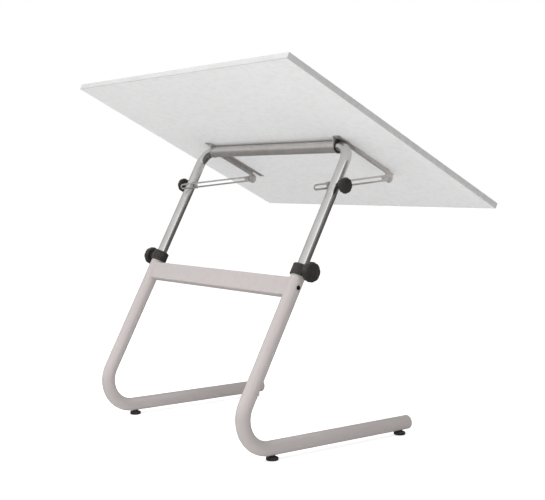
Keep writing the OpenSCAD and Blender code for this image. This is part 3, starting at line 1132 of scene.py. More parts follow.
class Palette:
    """The finished materials, by slot, with the thread variants."""

    def __init__(self, plan: Plan) -> None:
        """Builds every material.

        Args:
            plan: the table's plan, for the directions of the hairlines.
        """
        effects = Effects.build()
        finishes = (
            Spangled(
                Slot.ZINC, colour=(0.58, 0.555, 0.54), shade=(0.64, 0.615, 0.60),
                roughness=(0.34, 0.46), worn=(0.70, 0.68, 0.67), wear=0.4, dust=0.06,
                grain_scale=1600.0, grain_depth=0.008 * MM, metallic=0.76,
                hairline=0.25, hairline_scale=700.0, hairline_stretch=0.03,
                lean=plan.tilt, drift=30.0,
            ),
            Finish(
                Slot.PAINT, colour=(0.52, 0.475, 0.466), shade=(0.535, 0.49, 0.48),
                roughness=(0.3, 0.42), worn=(0.46, 0.43, 0.42), dust=0.05,
                grain_scale=420.0, grain_depth=0.035 * MM, coat=0.5,
                coat_roughness=0.12, hairline=0.025, lean=plan.lean, drift=5.0,
            ),
            Finish(
                Slot.CHROME, colour=(0.66, 0.655, 0.65), shade=(0.60, 0.59, 0.585),
                roughness=(0.16, 0.24), worn=(0.45, 0.44, 0.43), wear=0.15, dust=0.05,
                grain_scale=1500.0, grain_depth=0.002 * MM, metallic=1.0, hairline=0.35,
                hairline_scale=900.0, hairline_stretch=0.01, lean=plan.lean, drift=14.0,
            ),
            Finish(
                Slot.PLASTIC, colour=(0.030, 0.028, 0.027), shade=(0.042, 0.038, 0.036),
                roughness=(0.42, 0.56), worn=(0.07, 0.066, 0.063), wear=0.4, dust=0.06,
                specular=0.3, grain_scale=1300.0, grain_depth=0.05 * MM, crispness=0.7,
                drift=40.0,
            ),
            Finish(
                Slot.BLACK_STEEL, colour=(0.03, 0.03, 0.031),
                shade=(0.05, 0.047, 0.045), roughness=(0.28, 0.42),
                worn=(0.30, 0.29, 0.28), wear=0.6, metallic=0.9, grain_scale=2000.0,
                grain_depth=0.006 * MM,
            ),
            Finish(
                Slot.BRASS, colour=(0.72, 0.50, 0.20), shade=(0.60, 0.40, 0.16),
                roughness=(0.22, 0.36), worn=(0.85, 0.68, 0.35), metallic=1.0,
                hairline=0.5, hairline_stretch=1.0, grain_depth=0.006 * MM,
            ),
            Pressed(
                Slot.CHIPBOARD, colour=(0.50, 0.34, 0.19), shade=(0.58, 0.42, 0.25),
                roughness=(0.7, 0.9), worn=(0.72, 0.56, 0.36), wear=0.1,
                grain_scale=600.0, grain_depth=0.15 * MM,
            ),
            Pearled(
                Slot.LAMINATE, colour=(0.838, 0.838, 0.838),
                shade=(0.848, 0.848, 0.848), roughness=(0.36, 0.46),
                worn=(0.66, 0.655, 0.64), wear=0.2, dust=0.04, drift=3.0, specular=0.4,
            ),
            Finish(
                Slot.BAND, colour=(0.56, 0.56, 0.555), shade=(0.60, 0.60, 0.597),
                roughness=(0.34, 0.46), worn=(0.72, 0.72, 0.715), dust=0.05,
                grain_scale=700.0, grain_depth=0.015 * MM, hairline=0.12,
                hairline_scale=500.0, hairline_stretch=1.0,
            ),
        )
        self.by_slot = {finish.slot: finish.build(effects) for finish in finishes}
        thread = {
            "colour": (0.42, 0.41, 0.40),
            "shade": (0.50, 0.49, 0.48),
            "roughness": (0.28, 0.4),
            "worn": (0.62, 0.61, 0.60),
            "metallic": 0.9,
            "grain_depth": 0.25 * MM,
        }
        self.thread_up = Threaded(Slot.ZINC, tag="_thread_up", **thread).build(effects)
        self.thread_across = Threaded(
            Slot.ZINC, tag="_thread_across", axis=0, **thread
        ).build(effects)

    def dress(
        self,
        piece: bpy.types.Object,
        slot: Slot,
        material: bpy.types.Material | None = None,
    ) -> None:
        """Gives a piece its material.

        Args:
            piece: the piece or CAD node.
            slot: the record's slot.
            material: a variant to use in place of the slot's own material.
        """
        chosen = material or self.by_slot[slot]
        piece.data.materials.clear()
        piece.data.materials.append(chosen)


# ---------------------------------------------------------------- hardware shapes


def fluted_knob(
    name: str,
    frame: Matrix,
    radius: float,
    thickness: float,
    hub: float,
    flutes: int = 8,
    flute_depth: float = 1.2 * MM,
) -> bpy.types.Object:
    """A round grip knob with finger flutes, a hub behind and a capped face.

    Args:
        name: name of the piece.
        frame: knob frame; +Z runs from the inner face outward.
        radius: outer radius.
        thickness: thickness without the hub.
        hub: how far the hub stands out behind.
        flutes: number of flutes.
        flute_depth: depth of a flute.

    Returns:
        The knob.
    """
    rim = 4 * MM
    cap = radius * 0.5
    corners = [
        (0, -hub),
        (radius * 0.45, -hub),
        (radius * 0.45, 0.3 * MM),
        (radius - rim, 0.0),
        (radius, rim * 0.9),
        (radius, thickness - rim),
        (radius - rim, thickness - 0.2 * MM),
        (cap + 1.2 * MM, thickness),
        (cap, thickness - 1.1 * MM),
        (cap - 1.5 * MM, thickness - 0.9 * MM),
        (0, thickness - 0.4 * MM),
    ]
    radii = [0, 0.5 * MM, 0.8 * MM, 1 * MM, 3.4 * MM, 3.4 * MM, 1 * MM, 0.6 * MM]
    radii += [0.4 * MM, 0.6 * MM, 0]
    line = rounded(corners, radii, 5, closed=False)
    shell = ribbed(
        line,
        flutes * 16,
        flutes,
        2,
        lambda r: min(max((r - radius + rim) / rim, 0.0), 1.0) * flute_depth,
    )
    return shell.build(name, frame, 40.0)


def screw_head(
    name: str, frame: Matrix, radius: float, height: float, shank: float, length: float
) -> bpy.types.Object:
    """A pan-head screw with a crossed recess.

    Args:
        name: name of the piece.
        frame: screw frame; +Z runs out of the head, the head sits on z = 0.
        radius: radius of the head.
        height: height of the head.
        shank: radius of the shank.
        length: length of the shank.

    Returns:
        The screw.
    """
    line = rounded(
        [
            (0, -length),
            (shank * 0.55, -length),
            (shank, -length + shank),
            (shank, 0),
            (radius, 0),
            (radius, height * 0.45),
            (radius * 0.72, height * 0.92),
            (0, height),
        ],
        [0, 0, 0, 0.1 * MM, 0.15 * MM, height * 0.3, height * 0.4, 0],
        4,
        closed=False,
    )
    head = turned(line, 36).build(name, frame)
    arm, half = radius * 0.52, radius * 0.13
    corners = []
    for quarter in range(4):
        turn = Matrix.Rotation(math.radians(90 * quarter), 2)
        for x, y in ((half, half), (half, arm), (-half, arm)):
            corners.append(turn @ Vector((x, y)))
    low, high = height * 0.3, height * 1.5
    tool = Shell()
    bottom = tool.add_ring([Vector((c.x * 0.7, c.y * 0.7, low)) for c in corners])
    top = tool.add_ring([Vector((c.x * 1.1, c.y * 1.1, high)) for c in corners])
    tool.bridge(bottom, top)
    tool.faces.append(tuple(reversed(bottom)))
    tool.faces.append(tuple(top))
    return cut(head, tool.build(name + "_recess", frame))


def hex_bolt(
    name: str, frame: Matrix, radius: float, height: float, shank: float, length: float
) -> bpy.types.Object:
    """A hexagon-head bolt with a chamfered head.

    Args:
        name: name of the piece.
        frame: bolt frame; the head lies from z = 0 to its height, the shank follows.
        radius: radius over the corners.
        height: height of the head.
        shank: radius of the shank.
        length: length of the shank.

    Returns:
        The bolt.
    """
    flat = radius * math.cos(math.pi / 6)
    steps, bevel = 48, 0.5 * MM
    rings = [[Vector((0, 0, 0))], circle(flat * 0.9, steps)]
    for lift, reach in ((bevel, 0.97), (height - 0.2 * MM, 1.0), (height, 0.98)):
        ring = []
        for k in range(steps):
            angle = TURN * k / steps
            across = (angle + math.pi / 6) % (math.pi / 3) - math.pi / 6
            out = min(flat / math.cos(across), radius * reach)
            if lift == bevel:
                out = min(out, flat * 1.03)
            ring.append(polar(out, angle, lift))
        rings.append(ring)
    tip = height + length
    rings.append(circle(shank, steps, height))
    rings.append(circle(shank, steps, tip - bevel))
    rings.append(circle(shank - bevel, steps, tip))
    rings.append([Vector((0, 0, tip))])
    return Shell().skin(rings).build(name, frame)


def washer(
    name: str, frame: Matrix, outer: float, inner: float, low: float, high: float
) -> bpy.types.Object:
    """A pressed washer with rounded rims between two heights of its frame.

    Args:
        name: name of the piece.
        frame: washer frame; +Z runs along its axis.
        outer: outer radius.
        inner: radius of the hole.
        low: where it starts along the axis.
        high: where it ends.

    Returns:
        The washer.
    """
    line = rounded(
        [(inner, low), (outer, low), (outer, high), (inner, high)],
        min(outer - inner, high - low) * 0.3,
        3,
    )
    return turned(line, 40, closed=True).build(name, frame)


# ---------------------------------------------------------------- sub-assemblies


AXIS_TO_X = Matrix.Rotation(math.radians(90), 4, "Y")
KNOB_HUB = 1.4 * MM


@dataclass
class Assembly:
    """Common ground of the sub-assemblies."""

    plan: Plan
    palette: Palette

    def place(
        self,
        piece: bpy.types.Object,
        body: str,
        slot: Slot,
        *nodes: str,
        material: bpy.types.Material | None = None,
    ) -> bpy.types.Object:
        """Dresses a piece, makes it ride on its body and hides what it stands for.

        Args:
            piece: the piece.
            body: the CAD body that it moves with.
            slot: the record's slot.
            *nodes: the CAD nodes that it stands for.
            material: a variant material.

        Returns:
            The piece.
        """
        self.palette.dress(piece, slot, material)
        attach(piece, body)
        if nodes:
            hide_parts(*nodes)
        LOG.info(
            "%s on %s: %d faces, stands for %s",
            piece.name,
            body,
            len(piece.data.polygons),
            ", ".join(nodes) or "no node",
        )
        return piece

    def once(self, side: Side, node: str) -> tuple[str, ...]:
        """A CAD node of both sides, named only for the first piece that replaces it."""
        return (node,) if side is Side.LEFT else ()

    def soften(self, name: str, node: str, body: str, slot: Slot, width: float) -> None:
        """Puts a copy with broken edges in a CAD node's place."""
        self.place(softened(name, self.plan.nodes[node], width), body, slot, node)

    def screw_frame(self, side: Side, kind: str) -> Matrix:
        """Frame on a leg's axis at a knob's screw, with +Z outward along it."""
        up = self.plan.up_leg(f"{kind}_knob_turn_{side.label}")
        return self.plan.on_leg(side, up) @ AXIS_TO_X

    def grip(self, side: Side, kind: str) -> None:
        """Puts a fluted knob in place of the CAD one.

        Args:
            side: which side's knob.
            kind: "height" or "tilt".
        """
        node = f"{kind}_knob_{side.label}"
        frame = self.screw_frame(side, kind)
        low, high = self.plan.box_in(node, frame)
        piece = fluted_knob(
            f"{kind}_grip_{side.label}",
            frame @ Matrix.Translation((0, 0, low.z + KNOB_HUB)),
            (high.x - low.x) / 2,
            high.z - low.z - KNOB_HUB,
            KNOB_HUB,
        )
        self.place(piece, node, Slot.PLASTIC, node)

    def keep(
        self, node: str, slot: Slot, material: bpy.types.Material | None = None
    ) -> None:
        """Keeps a CAD node's own shape and gives it a better material."""
        self.palette.dress(self.plan.nodes[node], slot, material)
        LOG.info("%s keeps its CAD shape", node)


@dataclass
class Stand(Assembly):
    """The painted base: bent legs, cross rail, runner caps and feet."""

    wall: float = 1.5 * MM
    bend_steps: int = 40
    rail_round: float = 3.5 * MM
    rail_fit: float = 0.1 * MM
    bead: float = 1.5 * MM
    rib: float = 0.35 * MM

    def build(self) -> None:
        """Builds the whole stand."""
        for side in Side:
            self.leg(side)
            self.cap(side)
            for end in ("front", "rear"):
                self.foot(side, end)
        self.rail()
        self.keep("weld_nuts", Slot.ZINC)

    def leg(self, side: Side) -> None:
        """Runner, bend and leg as one bent tube.

        Args:
            side: which side of the table.
        """
        plan = self.plan
        low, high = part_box(f"leg_tube_{side.label}")
        half_turn = (math.pi / 2 + plan.lean) / 2
        bend_r = (plan.corner_y + plan.leg_r - high.y) / (math.tan(half_turn) - 1)
        start = plan.corner_y - bend_r * math.tan(half_turn)
        top = (high.z - plan.runner_z - plan.leg_r * math.sin(plan.lean)) / math.cos(
            plan.lean
        )
        x = plan.half_gauge * side.value
        path = [Vector((x, low.y, plan.runner_z))]
        for k in range(self.bend_steps + 1):
            angle = 2 * half_turn * k / self.bend_steps
            path.append(
                Vector(
                    (
                        x,
                        start + bend_r * math.sin(angle),
                        plan.runner_z + bend_r * (1 - math.cos(angle)),
                    )
                )
            )
        path.append(plan.on_leg(side, top).translation)
        tube = bent_tube(path, plan.leg_r, plan.leg_r - self.wall, Vector((1, 0, 0)))
        self.place(
            tube.build(f"bent_leg_{side.label}"),
            "base",
            Slot.PAINT,
            f"leg_tube_{side.label}",
        )

    def cap(self, side: Side) -> None:
        """Domed plug pressed into the tip of a runner.

        Args:
            side: which side of the table.
        """
        node = f"runner_cap_{side.label}"
        low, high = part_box(node)
        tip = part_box(f"leg_tube_{side.label}")[0].y
        radius = self.plan.leg_r
        bore = radius - self.wall
        bulge = tip - low.y
        deep = high.y - tip
        turns = [math.pi / 2 * k / 10 for k in range(11)]
        arc = [
            ((radius - 0.5 * MM) * math.sin(t), bulge * (0.16 + 0.84 * math.cos(t)))
            for t in turns
        ]
        arc[0] = (0.0, bulge)
        rim = [(radius - 0.1 * MM, 0.3 * MM), (radius - 0.4 * MM, 0.02 * MM)]
        plug = [(bore, 0.0), (bore, -deep + 1 * MM), (bore - 1 * MM, -deep)]
        shell = turned([*arc, *rim, *plug, (0.0, -deep)], 56)
        centre = Vector((self.plan.half_gauge * side.value, tip, self.plan.runner_z))
        frame = Matrix.Translation(centre) @ Matrix.Rotation(math.radians(90), 4, "X")
        piece = shell.build(f"runner_plug_{side.label}", frame)
        self.place(piece, "base", Slot.PAINT, node)

    def foot(self, side: Side, end: str) -> None:
        """Levelling foot: ribbed pad with a neck, on its threaded stud.

        Args:
            side: which side of the table.
            end: "front" or "rear".
        """
        name = f"foot_{end}_{side.label}"
        low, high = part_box(name)
        centre = (low + high) / 2
        radius, tall = (high.x - low.x) / 2, high.z - low.z
        neck = radius / 2
        pad = tall * 0.72
        stud_low, stud_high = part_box(f"foot_stud_{end}_{side.label}")
        bore = (stud_high.x - stud_low.x) / 2
        corners = [
            (0, 0.4 * MM),
            (radius * 0.55, 0.4 * MM),
            (radius * 0.62, 0),
            (radius * 0.9, 0),
            (radius, 1.6 * MM),
            (radius, pad - 1.8 * MM),
            (radius * 0.88, pad),
            (neck + 1 * MM, pad + 0.4 * MM),
            (neck, pad + 1.8 * MM),
            (neck, tall),
            (bore, tall),
            (bore, stud_low.z),
            (0, stud_low.z),
        ]
        radii = [0, 0.3 * MM, 0.3 * MM, 0.8 * MM, 1.2 * MM, 1.2 * MM, 1 * MM]
        radii += [1 * MM, 0.8 * MM, 0.4 * MM, 0, 0, 0]
        line = rounded(corners, radii, 4, closed=False)
        rim = radius * 0.97
        shell = ribbed(line, 144, 24, 1, lambda r: self.rib if r > rim else 0.0)
        frame = Matrix.Translation((centre.x, centre.y, 0))
        piece = shell.build(f"pad_{end}_{side.label}", frame)
        self.place(piece, name, Slot.PLASTIC, name)
        self.keep(f"foot_stud_{end}_{side.label}", Slot.ZINC, self.palette.thread_up)

    def rail_outline(self, inset: float) -> list[Flat]:
        """Section of the rail in its leg frame, as (depth, height) points.

        Args:
            inset: how far inside the outer skin it lies.

        Returns:
            The outline.
        """
        low, high = self.plan.box_in("cross_rail", self._rail_frame())
        corners = [
            (high.y - inset, high.z - inset),
            (low.y + inset, high.z - inset),
            (low.y + inset, low.z + inset),
            (high.y - inset, low.z + inset),
        ]
        return rounded(corners, max(self.rail_round - inset, 1 * MM), 5)

    def _rail_frame(self) -> Matrix:
        """Frame in the middle of the rail, leaning with the legs."""
        frame = self.plan.on_leg(Side.RIGHT, self.plan.up_mid("cross_rail"))
        return Matrix.Translation((-self.plan.half_gauge, 0, 0)) @ frame

    def _reach(self, depth: float) -> float:
        """Distance from the middle to the leg's surface at a depth of the rail."""
        radius = self.plan.leg_r
        return self.plan.half_gauge - math.sqrt(radius**2 - depth**2) + self.rail_fit

    def rail(self) -> None:
        """Rectangular tube coped onto both legs, with a weld bead at each end."""
        frame = self._rail_frame()
        outer, inner = self.rail_outline(0), self.rail_outline(self.wall)
        rings = []
        for outline, ends in ((outer, (-1, 1)), (inner, (1, -1))):
            for end in ends:
                rings.append([Vector((end * self._reach(y), y, z)) for y, z in outline])
        rail = Shell().skin(rings, closed=True).build("coped_rail", frame, 25.0)
        self.place(rail, "base", Slot.PAINT, "cross_rail")
        for side in Side:
            self.weld_bead(side, frame)

    def weld_bead(self, side: Side, frame: Matrix) -> None:
        """Ripple of weld around one end of the rail.

        Args:
            side: which side of the table.
            frame: the rail's frame.
        """
        low, high = self.plan.box_in("cross_rail", frame)
        outline = self.rail_outline(0.3 * MM)
        loop: list[Flat] = []
        for (y0, z0), (y1, z1) in zip(outline, outline[1:] + outline[:1]):
            count = max(1, round(math.hypot(y1 - y0, z1 - z0) / (0.9 * MM)))
            loop += [
                (y0 + (y1 - y0) * k / count, z0 + (z1 - z0) * k / count)
                for k in range(count)
            ]
        middle = ((low.y + high.y) / 2, (low.z + high.z) / 2)
        steps, rings = 10, []
        for i, (y, z) in enumerate(loop):
            away = Vector((0, y - middle[0], z - middle[1])).normalized()
            size = self.bead * (1 + 0.16 * math.sin(i * 1.4) + 0.06 * math.sin(i * 0.37))
            centre = Vector((side.value * self._reach(y), y, z))
            across = Vector((side.value, 0, 0))
            rings.append(hoop(centre, size, across, away, steps))
        bead = Shell().skin(rings, closed=True)
        self.place(bead.build(f"rail_weld_{side.label}", frame, 60.0), "base", Slot.PAINT)


@dataclass
class HeightClamp(Assembly):
    """Collar, guide bush, clamp screw and round knob at the top of each leg."""

    washer_bore: float = 4.3 * MM
    bush_shank: float = 2.4 * MM

    def build(self) -> None:
        """Builds both clamps."""
        for side in Side:
            self.collar(side)
            self.grip(side, "height")
            self.bush_screw(side)
            self.keep(f"guide_bush_{side.label}", Slot.PLASTIC)
            self.keep(f"height_screw_{side.label}", Slot.ZINC, self.palette.thread_across)
            self.keep(f"pressure_pads_{side.label}", Slot.BRASS)
        self.keep("collar_inserts", Slot.BRASS)
        self.washers()

    def collar(self, side: Side) -> None:
        """Moulded collar with its clamp boss.

        Args:
            side: which side of the table.
        """
        node = f"collar_{side.label}"
        piece = moulded(f"clamp_collar_{side.label}", self.plan.nodes[node], 0.6 * MM)
        self.place(piece, "base", Slot.PLASTIC, node)

    def washers(self) -> None:
        """Washers between the collar bosses and the knobs."""
        for side in Side:
            frame = self.screw_frame(side, "height")
            low, high = self.plan.box_in("height_washers", frame, side)
            outer = (high.x - low.x) / 2
            name = f"knob_washer_{side.label}"
            piece = washer(name, frame, outer, self.washer_bore, low.z, high.z)
            self.place(piece, "base", Slot.ZINC, *self.once(side, "height_washers"))

    def bush_screw(self, side: Side) -> None:
        """Dark pan-head screw that holds the guide bush in its leg.

        Args:
            side: which side of the table.
        """
        frame = self.plan.on_leg(side, self.plan.up_mid("bush_screws")) @ AXIS_TO_X
        low, high = self.plan.box_in("bush_screws", frame, side)
        seat = self.plan.leg_r - 0.3 * MM
        piece = screw_head(
            f"bush_fixing_{side.label}",
            frame @ Matrix.Translation((0, 0, seat)),
            (high.x - low.x) / 2,
            high.z - seat,
            self.bush_shank,
            seat - low.z,
        )
        self.place(piece, "base", Slot.BLACK_STEEL, *self.once(side, "bush_screws"))


@dataclass
class Column(Assembly):
    """The chrome U tube that slides in the legs and carries the board."""

    bend_r: float = 44 * MM
    wall: float = 1.5 * MM
    bend_steps: int = 32

    def build(self) -> None:
        """Builds the bent tube and its plugs."""
        self.tube()
        self.keep("glide_plugs", Slot.PLASTIC)

    def tube(self) -> None:
        """Inverted U of one bent tube."""
        plan = self.plan
        frame = plan.on_bar(plan.lean)
        low, high = plan.box_in("chrome_u_tube", frame)
        radius = high.x - plan.half_gauge
        corner = plan.half_gauge - self.bend_r
        half = []
        for k in range(self.bend_steps + 1):
            angle = math.pi / 2 * k / self.bend_steps
            half.append(
                Vector(
                    (
                        corner + self.bend_r * math.cos(angle),
                        0,
                        self.bend_r * (math.sin(angle) - 1),
                    )
                )
            )
        half.insert(0, Vector((plan.half_gauge, 0, low.z)))
        flip = [Vector((-p.x, 0, p.z)) for p in reversed(half)]
        tube = bent_tube(half + flip, radius, radius - self.wall, Vector((0, 1, 0)), 64)
        self.place(tube.build("chrome_bow", frame), "column", Slot.CHROME, "chrome_u_tube")


@dataclass
class TiltClamp(Assembly):
    """Bolt, knob, clip and slotted strut that hold the board's slope."""

    bolt_r: float = 3 * MM
    head_t: float = 4 * MM
    clip_t: float = 1.5 * MM
    washer_r: float = 6.2 * MM
    washer_t: float = 1.2 * MM
    pin_r: float = 3 * MM
    eye_gap: float = 31.8 * MM
    slot_w: float = 7.4 * MM
    end_wall: float = 3 * MM

    def build(self) -> None:
        """Builds both clamps."""
        for side in Side:
            self.bolt(side)
            self.grip(side, "tilt")
            self.keep(f"tilt_insert_{side.label}", Slot.BRASS)
            name, node = f"knob_spacer_{side.label}", f"knob_hub_{side.label}"
            self.soften(name, node, "column", Slot.PLASTIC, 0.6 * MM)
            self.clip(side)
            self.strut(side)
        self.soften("leg_saddles", "bolt_saddles", "column", Slot.ZINC, 0.3 * MM)

    def bolt(self, side: Side) -> None:
        """Hexagon bolt through the clip and the chrome leg, with its washer.

        Args:
            side: which side of the table.
        """
        node = f"tilt_bolt_{side.label}"
        frame = self.screw_frame(side, "tilt")
        low, high = self.plan.box_in(node, frame)
        piece = hex_bolt(
            f"clamp_bolt_{side.label}",
            frame @ Matrix.Translation((0, 0, low.z)),
            (high.x - low.x) / 2,
            self.head_t,
            self.bolt_r,
            high.z - low.z - self.head_t,
        )
        self.place(piece, "column", Slot.ZINC, node)
        seat = low.z + self.head_t
        ring = washer(
            f"bolt_washer_{side.label}",
            frame,
            self.washer_r,
            self.bolt_r + 0.1 * MM,
            seat,
            seat + self.washer_t,
        )
        self.place(ring, "column", Slot.ZINC, *self.once(side, "bolt_washers"))

    def clip(self, side: Side) -> None:
        """Folded clip with rounded bends, which the strut slides through.

        Args:
            side: which side of the table.
        """
        node = f"clip_{side.label}"
        frame = self.plan.on_strut(side)
        low, high = self.plan.box_in(node, frame)
        t = self.clip_t
        outline = rounded(
            [
                (low.x, low.z),
                (high.x, low.z),
                (high.x, high.z),
                (low.x, high.z),
                (low.x, high.z - t),
                (high.x - t, high.z - t),
                (high.x - t, low.z + t),
                (low.x, low.z + t),
            ],
            [mm * MM for mm in (0.3, 1.8, 1.8, 0.3, 0.3, 0.5, 0.5, 0.3)],
            4,
        )
        middle = (low.y + high.y) / 2
        turn = Matrix.Translation((0, middle, 0)) @ Matrix.Rotation(
            math.radians(90), 4, "X"
        )
        piece = plate(
            f"strut_clip_{side.label}", [outline], high.y - low.y, frame @ turn, 0.25 * MM
        )
        self.place(piece, node, Slot.ZINC, node)

    def strut(self, side: Side) -> None:
        """Slotted flat strut with an eye, and its pivot pin.

        Args:
            side: which side of the table.
        """
        node = f"strut_{side.label}"
        frame = self.plan.on_strut(side)
        low, high = self.plan.box_in(node, frame)
        half = high.z
        far = high.y - self.end_wall - self.slot_w / 2
        outline = self._arc((0, 0), half, math.pi / 2, 3 * math.pi / 2)
        outline += self._arc((high.y - half, 0), half, -math.pi / 2, math.pi / 2)
        slot = self._arc((far, 0), self.slot_w / 2, -math.pi / 2, math.pi / 2)
        slot += self._arc((self.eye_gap, 0), self.slot_w / 2, math.pi / 2, 3 * math.pi / 2)
        hole = self._arc((0, 0), self.pin_r + 0.05 * MM, 0, TURN, 24)[:-1]
        turn = Matrix(((0, 0, 1, 0), (1, 0, 0, 0), (0, 1, 0, 0), (0, 0, 0, 1)))
        piece = plate(
            f"slotted_strut_{side.label}",
            [outline, slot, hole],
            high.x - low.x,
            frame @ turn,
            0.35 * MM,
        )
        self.place(piece, node, Slot.ZINC, node)
        self.pin(side, frame, (high.x - low.x) / 2)

    def pin(self, side: Side, frame: Matrix, half: float) -> None:
        """Headed pin in the strut's eye.

        Args:
            side: which strut.
            frame: the strut's frame.
            half: half of the strut's thickness.
        """
        node = f"pivot_pin_{side.label}"
        low, high = self.plan.box_in(node, frame)
        head, end, rise = (high.z - low.z) / 2, 0.3 * MM, high.x - half
        line = [
            (0, low.x),
            (self.pin_r - end, low.x),
            (self.pin_r, low.x + end),
            (self.pin_r, half),
            *dome(head, half, rise),
            (0, high.x),
        ]
        shape = turned(line, 32).build(f"eye_pin_{side.label}", frame @ AXIS_TO_X)
        self.place(shape, f"strut_{side.label}", Slot.ZINC, node)

    @staticmethod
    def _arc(
        centre: Flat, radius: float, start: float, end: float, steps: int = 14
    ) -> list[Flat]:
        """Points along an arc, in order.

        Args:
            centre: centre of the arc.
            radius: its radius.
            start: angle of its first point.
            end: angle of its last point.
            steps: number of points, less one.

        Returns:
            The points.
        """
        turns = [start + (end - start) * k / steps for k in range(steps + 1)]
        x, y = centre
        return [(x + radius * math.cos(t), y + radius * math.sin(t)) for t in turns]


@dataclass
class Board(Assembly):
    """Laminated board with its edge bands, hinge sleeve, brackets and fixings."""

    screw_head_t: float = 2.6 * MM
    screw_head_r: float = 5 * MM
    screw_r: float = 2.2 * MM
    rivet_t: float = 1.2 * MM
    band_trim: float = 1.1 * MM
    bar_fit: float = 0.08 * MM

    def build(self) -> None:
        """Builds everything that tilts with the board."""
        self.keep("board_core", Slot.CHIPBOARD)
        self.keep("laminate_top", Slot.LAMINATE)
        self.keep("laminate_bottom", Slot.LAMINATE)
        for name in ("front", "rear", "left", "right"):
            self.band(name)
        self.sleeve()
        for side in Side:
            name, node = f"hinge_bracket_{side.label}", f"bracket_{side.label}"
            self.soften(name, node, "board", Slot.ZINC, 0.35 * MM)
        # black plastic bush flanges: partly a real bush, and partly a black block that
        # stands in as painted shade in the gap up to the bracket web
        self.soften("bush_flanges", "hinge_bushes", "board", Slot.PLASTIC, 0.5 * MM)
        self.rivets()
        self.screws()

    def band(self, name: str) -> None:
        """Edge band with its outer corners trimmed round.

        Args:
            name: "front", "rear", "left" or "right".
        """
        node = f"edge_band_{name}"
        frame = self.plan.on_board()
        low, high = self.plan.box_in(node, frame)
        core_low, core_high = self.plan.box_in("board_core", frame)
        middle = (core_low + core_high) / 2
        work = bmesh.new()
        bmesh.ops.create_cube(work, size=1.0)
        for vertex in work.verts:
            vertex.co = Vector(
                [low[i] + (high[i] - low[i]) * (vertex.co[i] + 0.5) for i in range(3)]
            )
        across = 1 if name in ("front", "rear") else 0
        outward = high[across] if (low[across] > middle[across]) else low[across]
        along = 1 - across
        ends = []
        for edge in work.edges:
            first, second = (v.co for v in edge.verts)
            outer = all(abs(p[across] - outward) < WELD / 2 for p in (first, second))
            runs = abs(first[along] - second[along]) > 1e-4
            tall = abs(first.z - second.z) > 1e-4
            if outer and (runs or (tall and across == 1)):
                ends.append(edge)
        bmesh.ops.bevel(
            work,
            geom=ends,
            offset=self.band_trim,
            segments=4,
            profile=0.5,
            affect="EDGES",
            clamp_overlap=True,
        )
        mesh = bpy.data.meshes.new(node)
        work.to_mesh(mesh)
        work.free()
        mesh.transform(frame)
        piece = settle(f"trimmed_band_{name}", mesh, 40.0)
        self.place(piece, "board", Slot.BAND, node)

    def sleeve(self) -> None:
        """Sleeve that turns on the chrome bar."""
        frame = self.plan.on_board() @ AXIS_TO_X
        low, high = self.plan.box_in("sleeve_bar", frame)
        radius = (high.x - low.x) / 2
        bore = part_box("chrome_u_tube")[1].x - self.plan.half_gauge + self.bar_fit
        path = [Vector((0, 0, low.z + (high.z - low.z) * k / 12)) for k in range(13)]
        tube = bent_tube(path, radius, bore, Vector((1, 0, 0)), 64)
        self.place(tube.build("hinge_sleeve", frame), "board", Slot.ZINC, "sleeve_bar")

    def rivets(self) -> None:
        """Low domed rivet heads on the ears."""
        frame = self.plan.on_board()
        for side in Side:
            low, high = self.plan.box_in("rivet_heads", frame, side)
            cap = dome((high.y - low.y) / 2, 0.0, self.rivet_t)
            line = [(0.0, 0.0), *cap, (0.0, self.rivet_t)]
            seat = (
                self.plan.mirror(side)
                @ frame
                @ Matrix.Translation(
                    (
                        min(abs(low.x), abs(high.x)) + self.rivet_t,
                        (low.y + high.y) / 2,
                        (low.z + high.z) / 2,
                    )
                )
                @ Matrix.Rotation(math.radians(-90), 4, "Y")
            )
            piece = turned(line, 32).build(f"rivet_{side.label}", seat)
            self.place(piece, "board", Slot.ZINC, *self.once(side, "rivet_heads"))

    def screws(self) -> None:
        """Pan-head screws that hold the brackets to the board."""
        frame = self.plan.on_board()
        low, high = self.plan.box_in("board_screws", frame)
        reach = max(abs(low.x), abs(high.x)) - self.screw_head_r
        seat = low.z + self.screw_head_t
        number = 0
        for side in Side:
            for y in (low.y + self.screw_head_r, high.y - self.screw_head_r):
                place = (
                    frame
                    @ Matrix.Translation((side.value * reach, y, seat))
                    @ Matrix.Rotation(math.pi, 4, "X")
                )
                piece = screw_head(
                    f"bracket_screw_{number}",
                    place,
                    self.screw_head_r,
                    self.screw_head_t,
                    self.screw_r,
                    high.z - seat,
                )
                nodes = ["board_screws"] if number == 0 else []
                self.place(piece, "board", Slot.ZINC, *nodes)
                number += 1


# ---------------------------------------------------------------- studio

# places around the horizon, from 0 to 1, and how bright the surroundings are there:
# as polished parts mirror them, and as they light the rest
SHEEN = (
    (0.00, 0.30),
    (0.035, 0.30),
    (0.06, 0.50),
    (0.25, 0.80),
    (0.45, 0.92),
    (0.56, 1.05),
    (0.575, 1.60),
    (0.597, 1.60),
    (0.61, 0.30),
    (0.75, 0.25),
    (0.90, 0.27),
    (1.00, 0.30),
)
GLOW = ((0.00, 0.38), (0.12, 0.58), (0.45, 0.58), (0.62, 0.36), (0.80, 0.22), (1.00, 0.38))


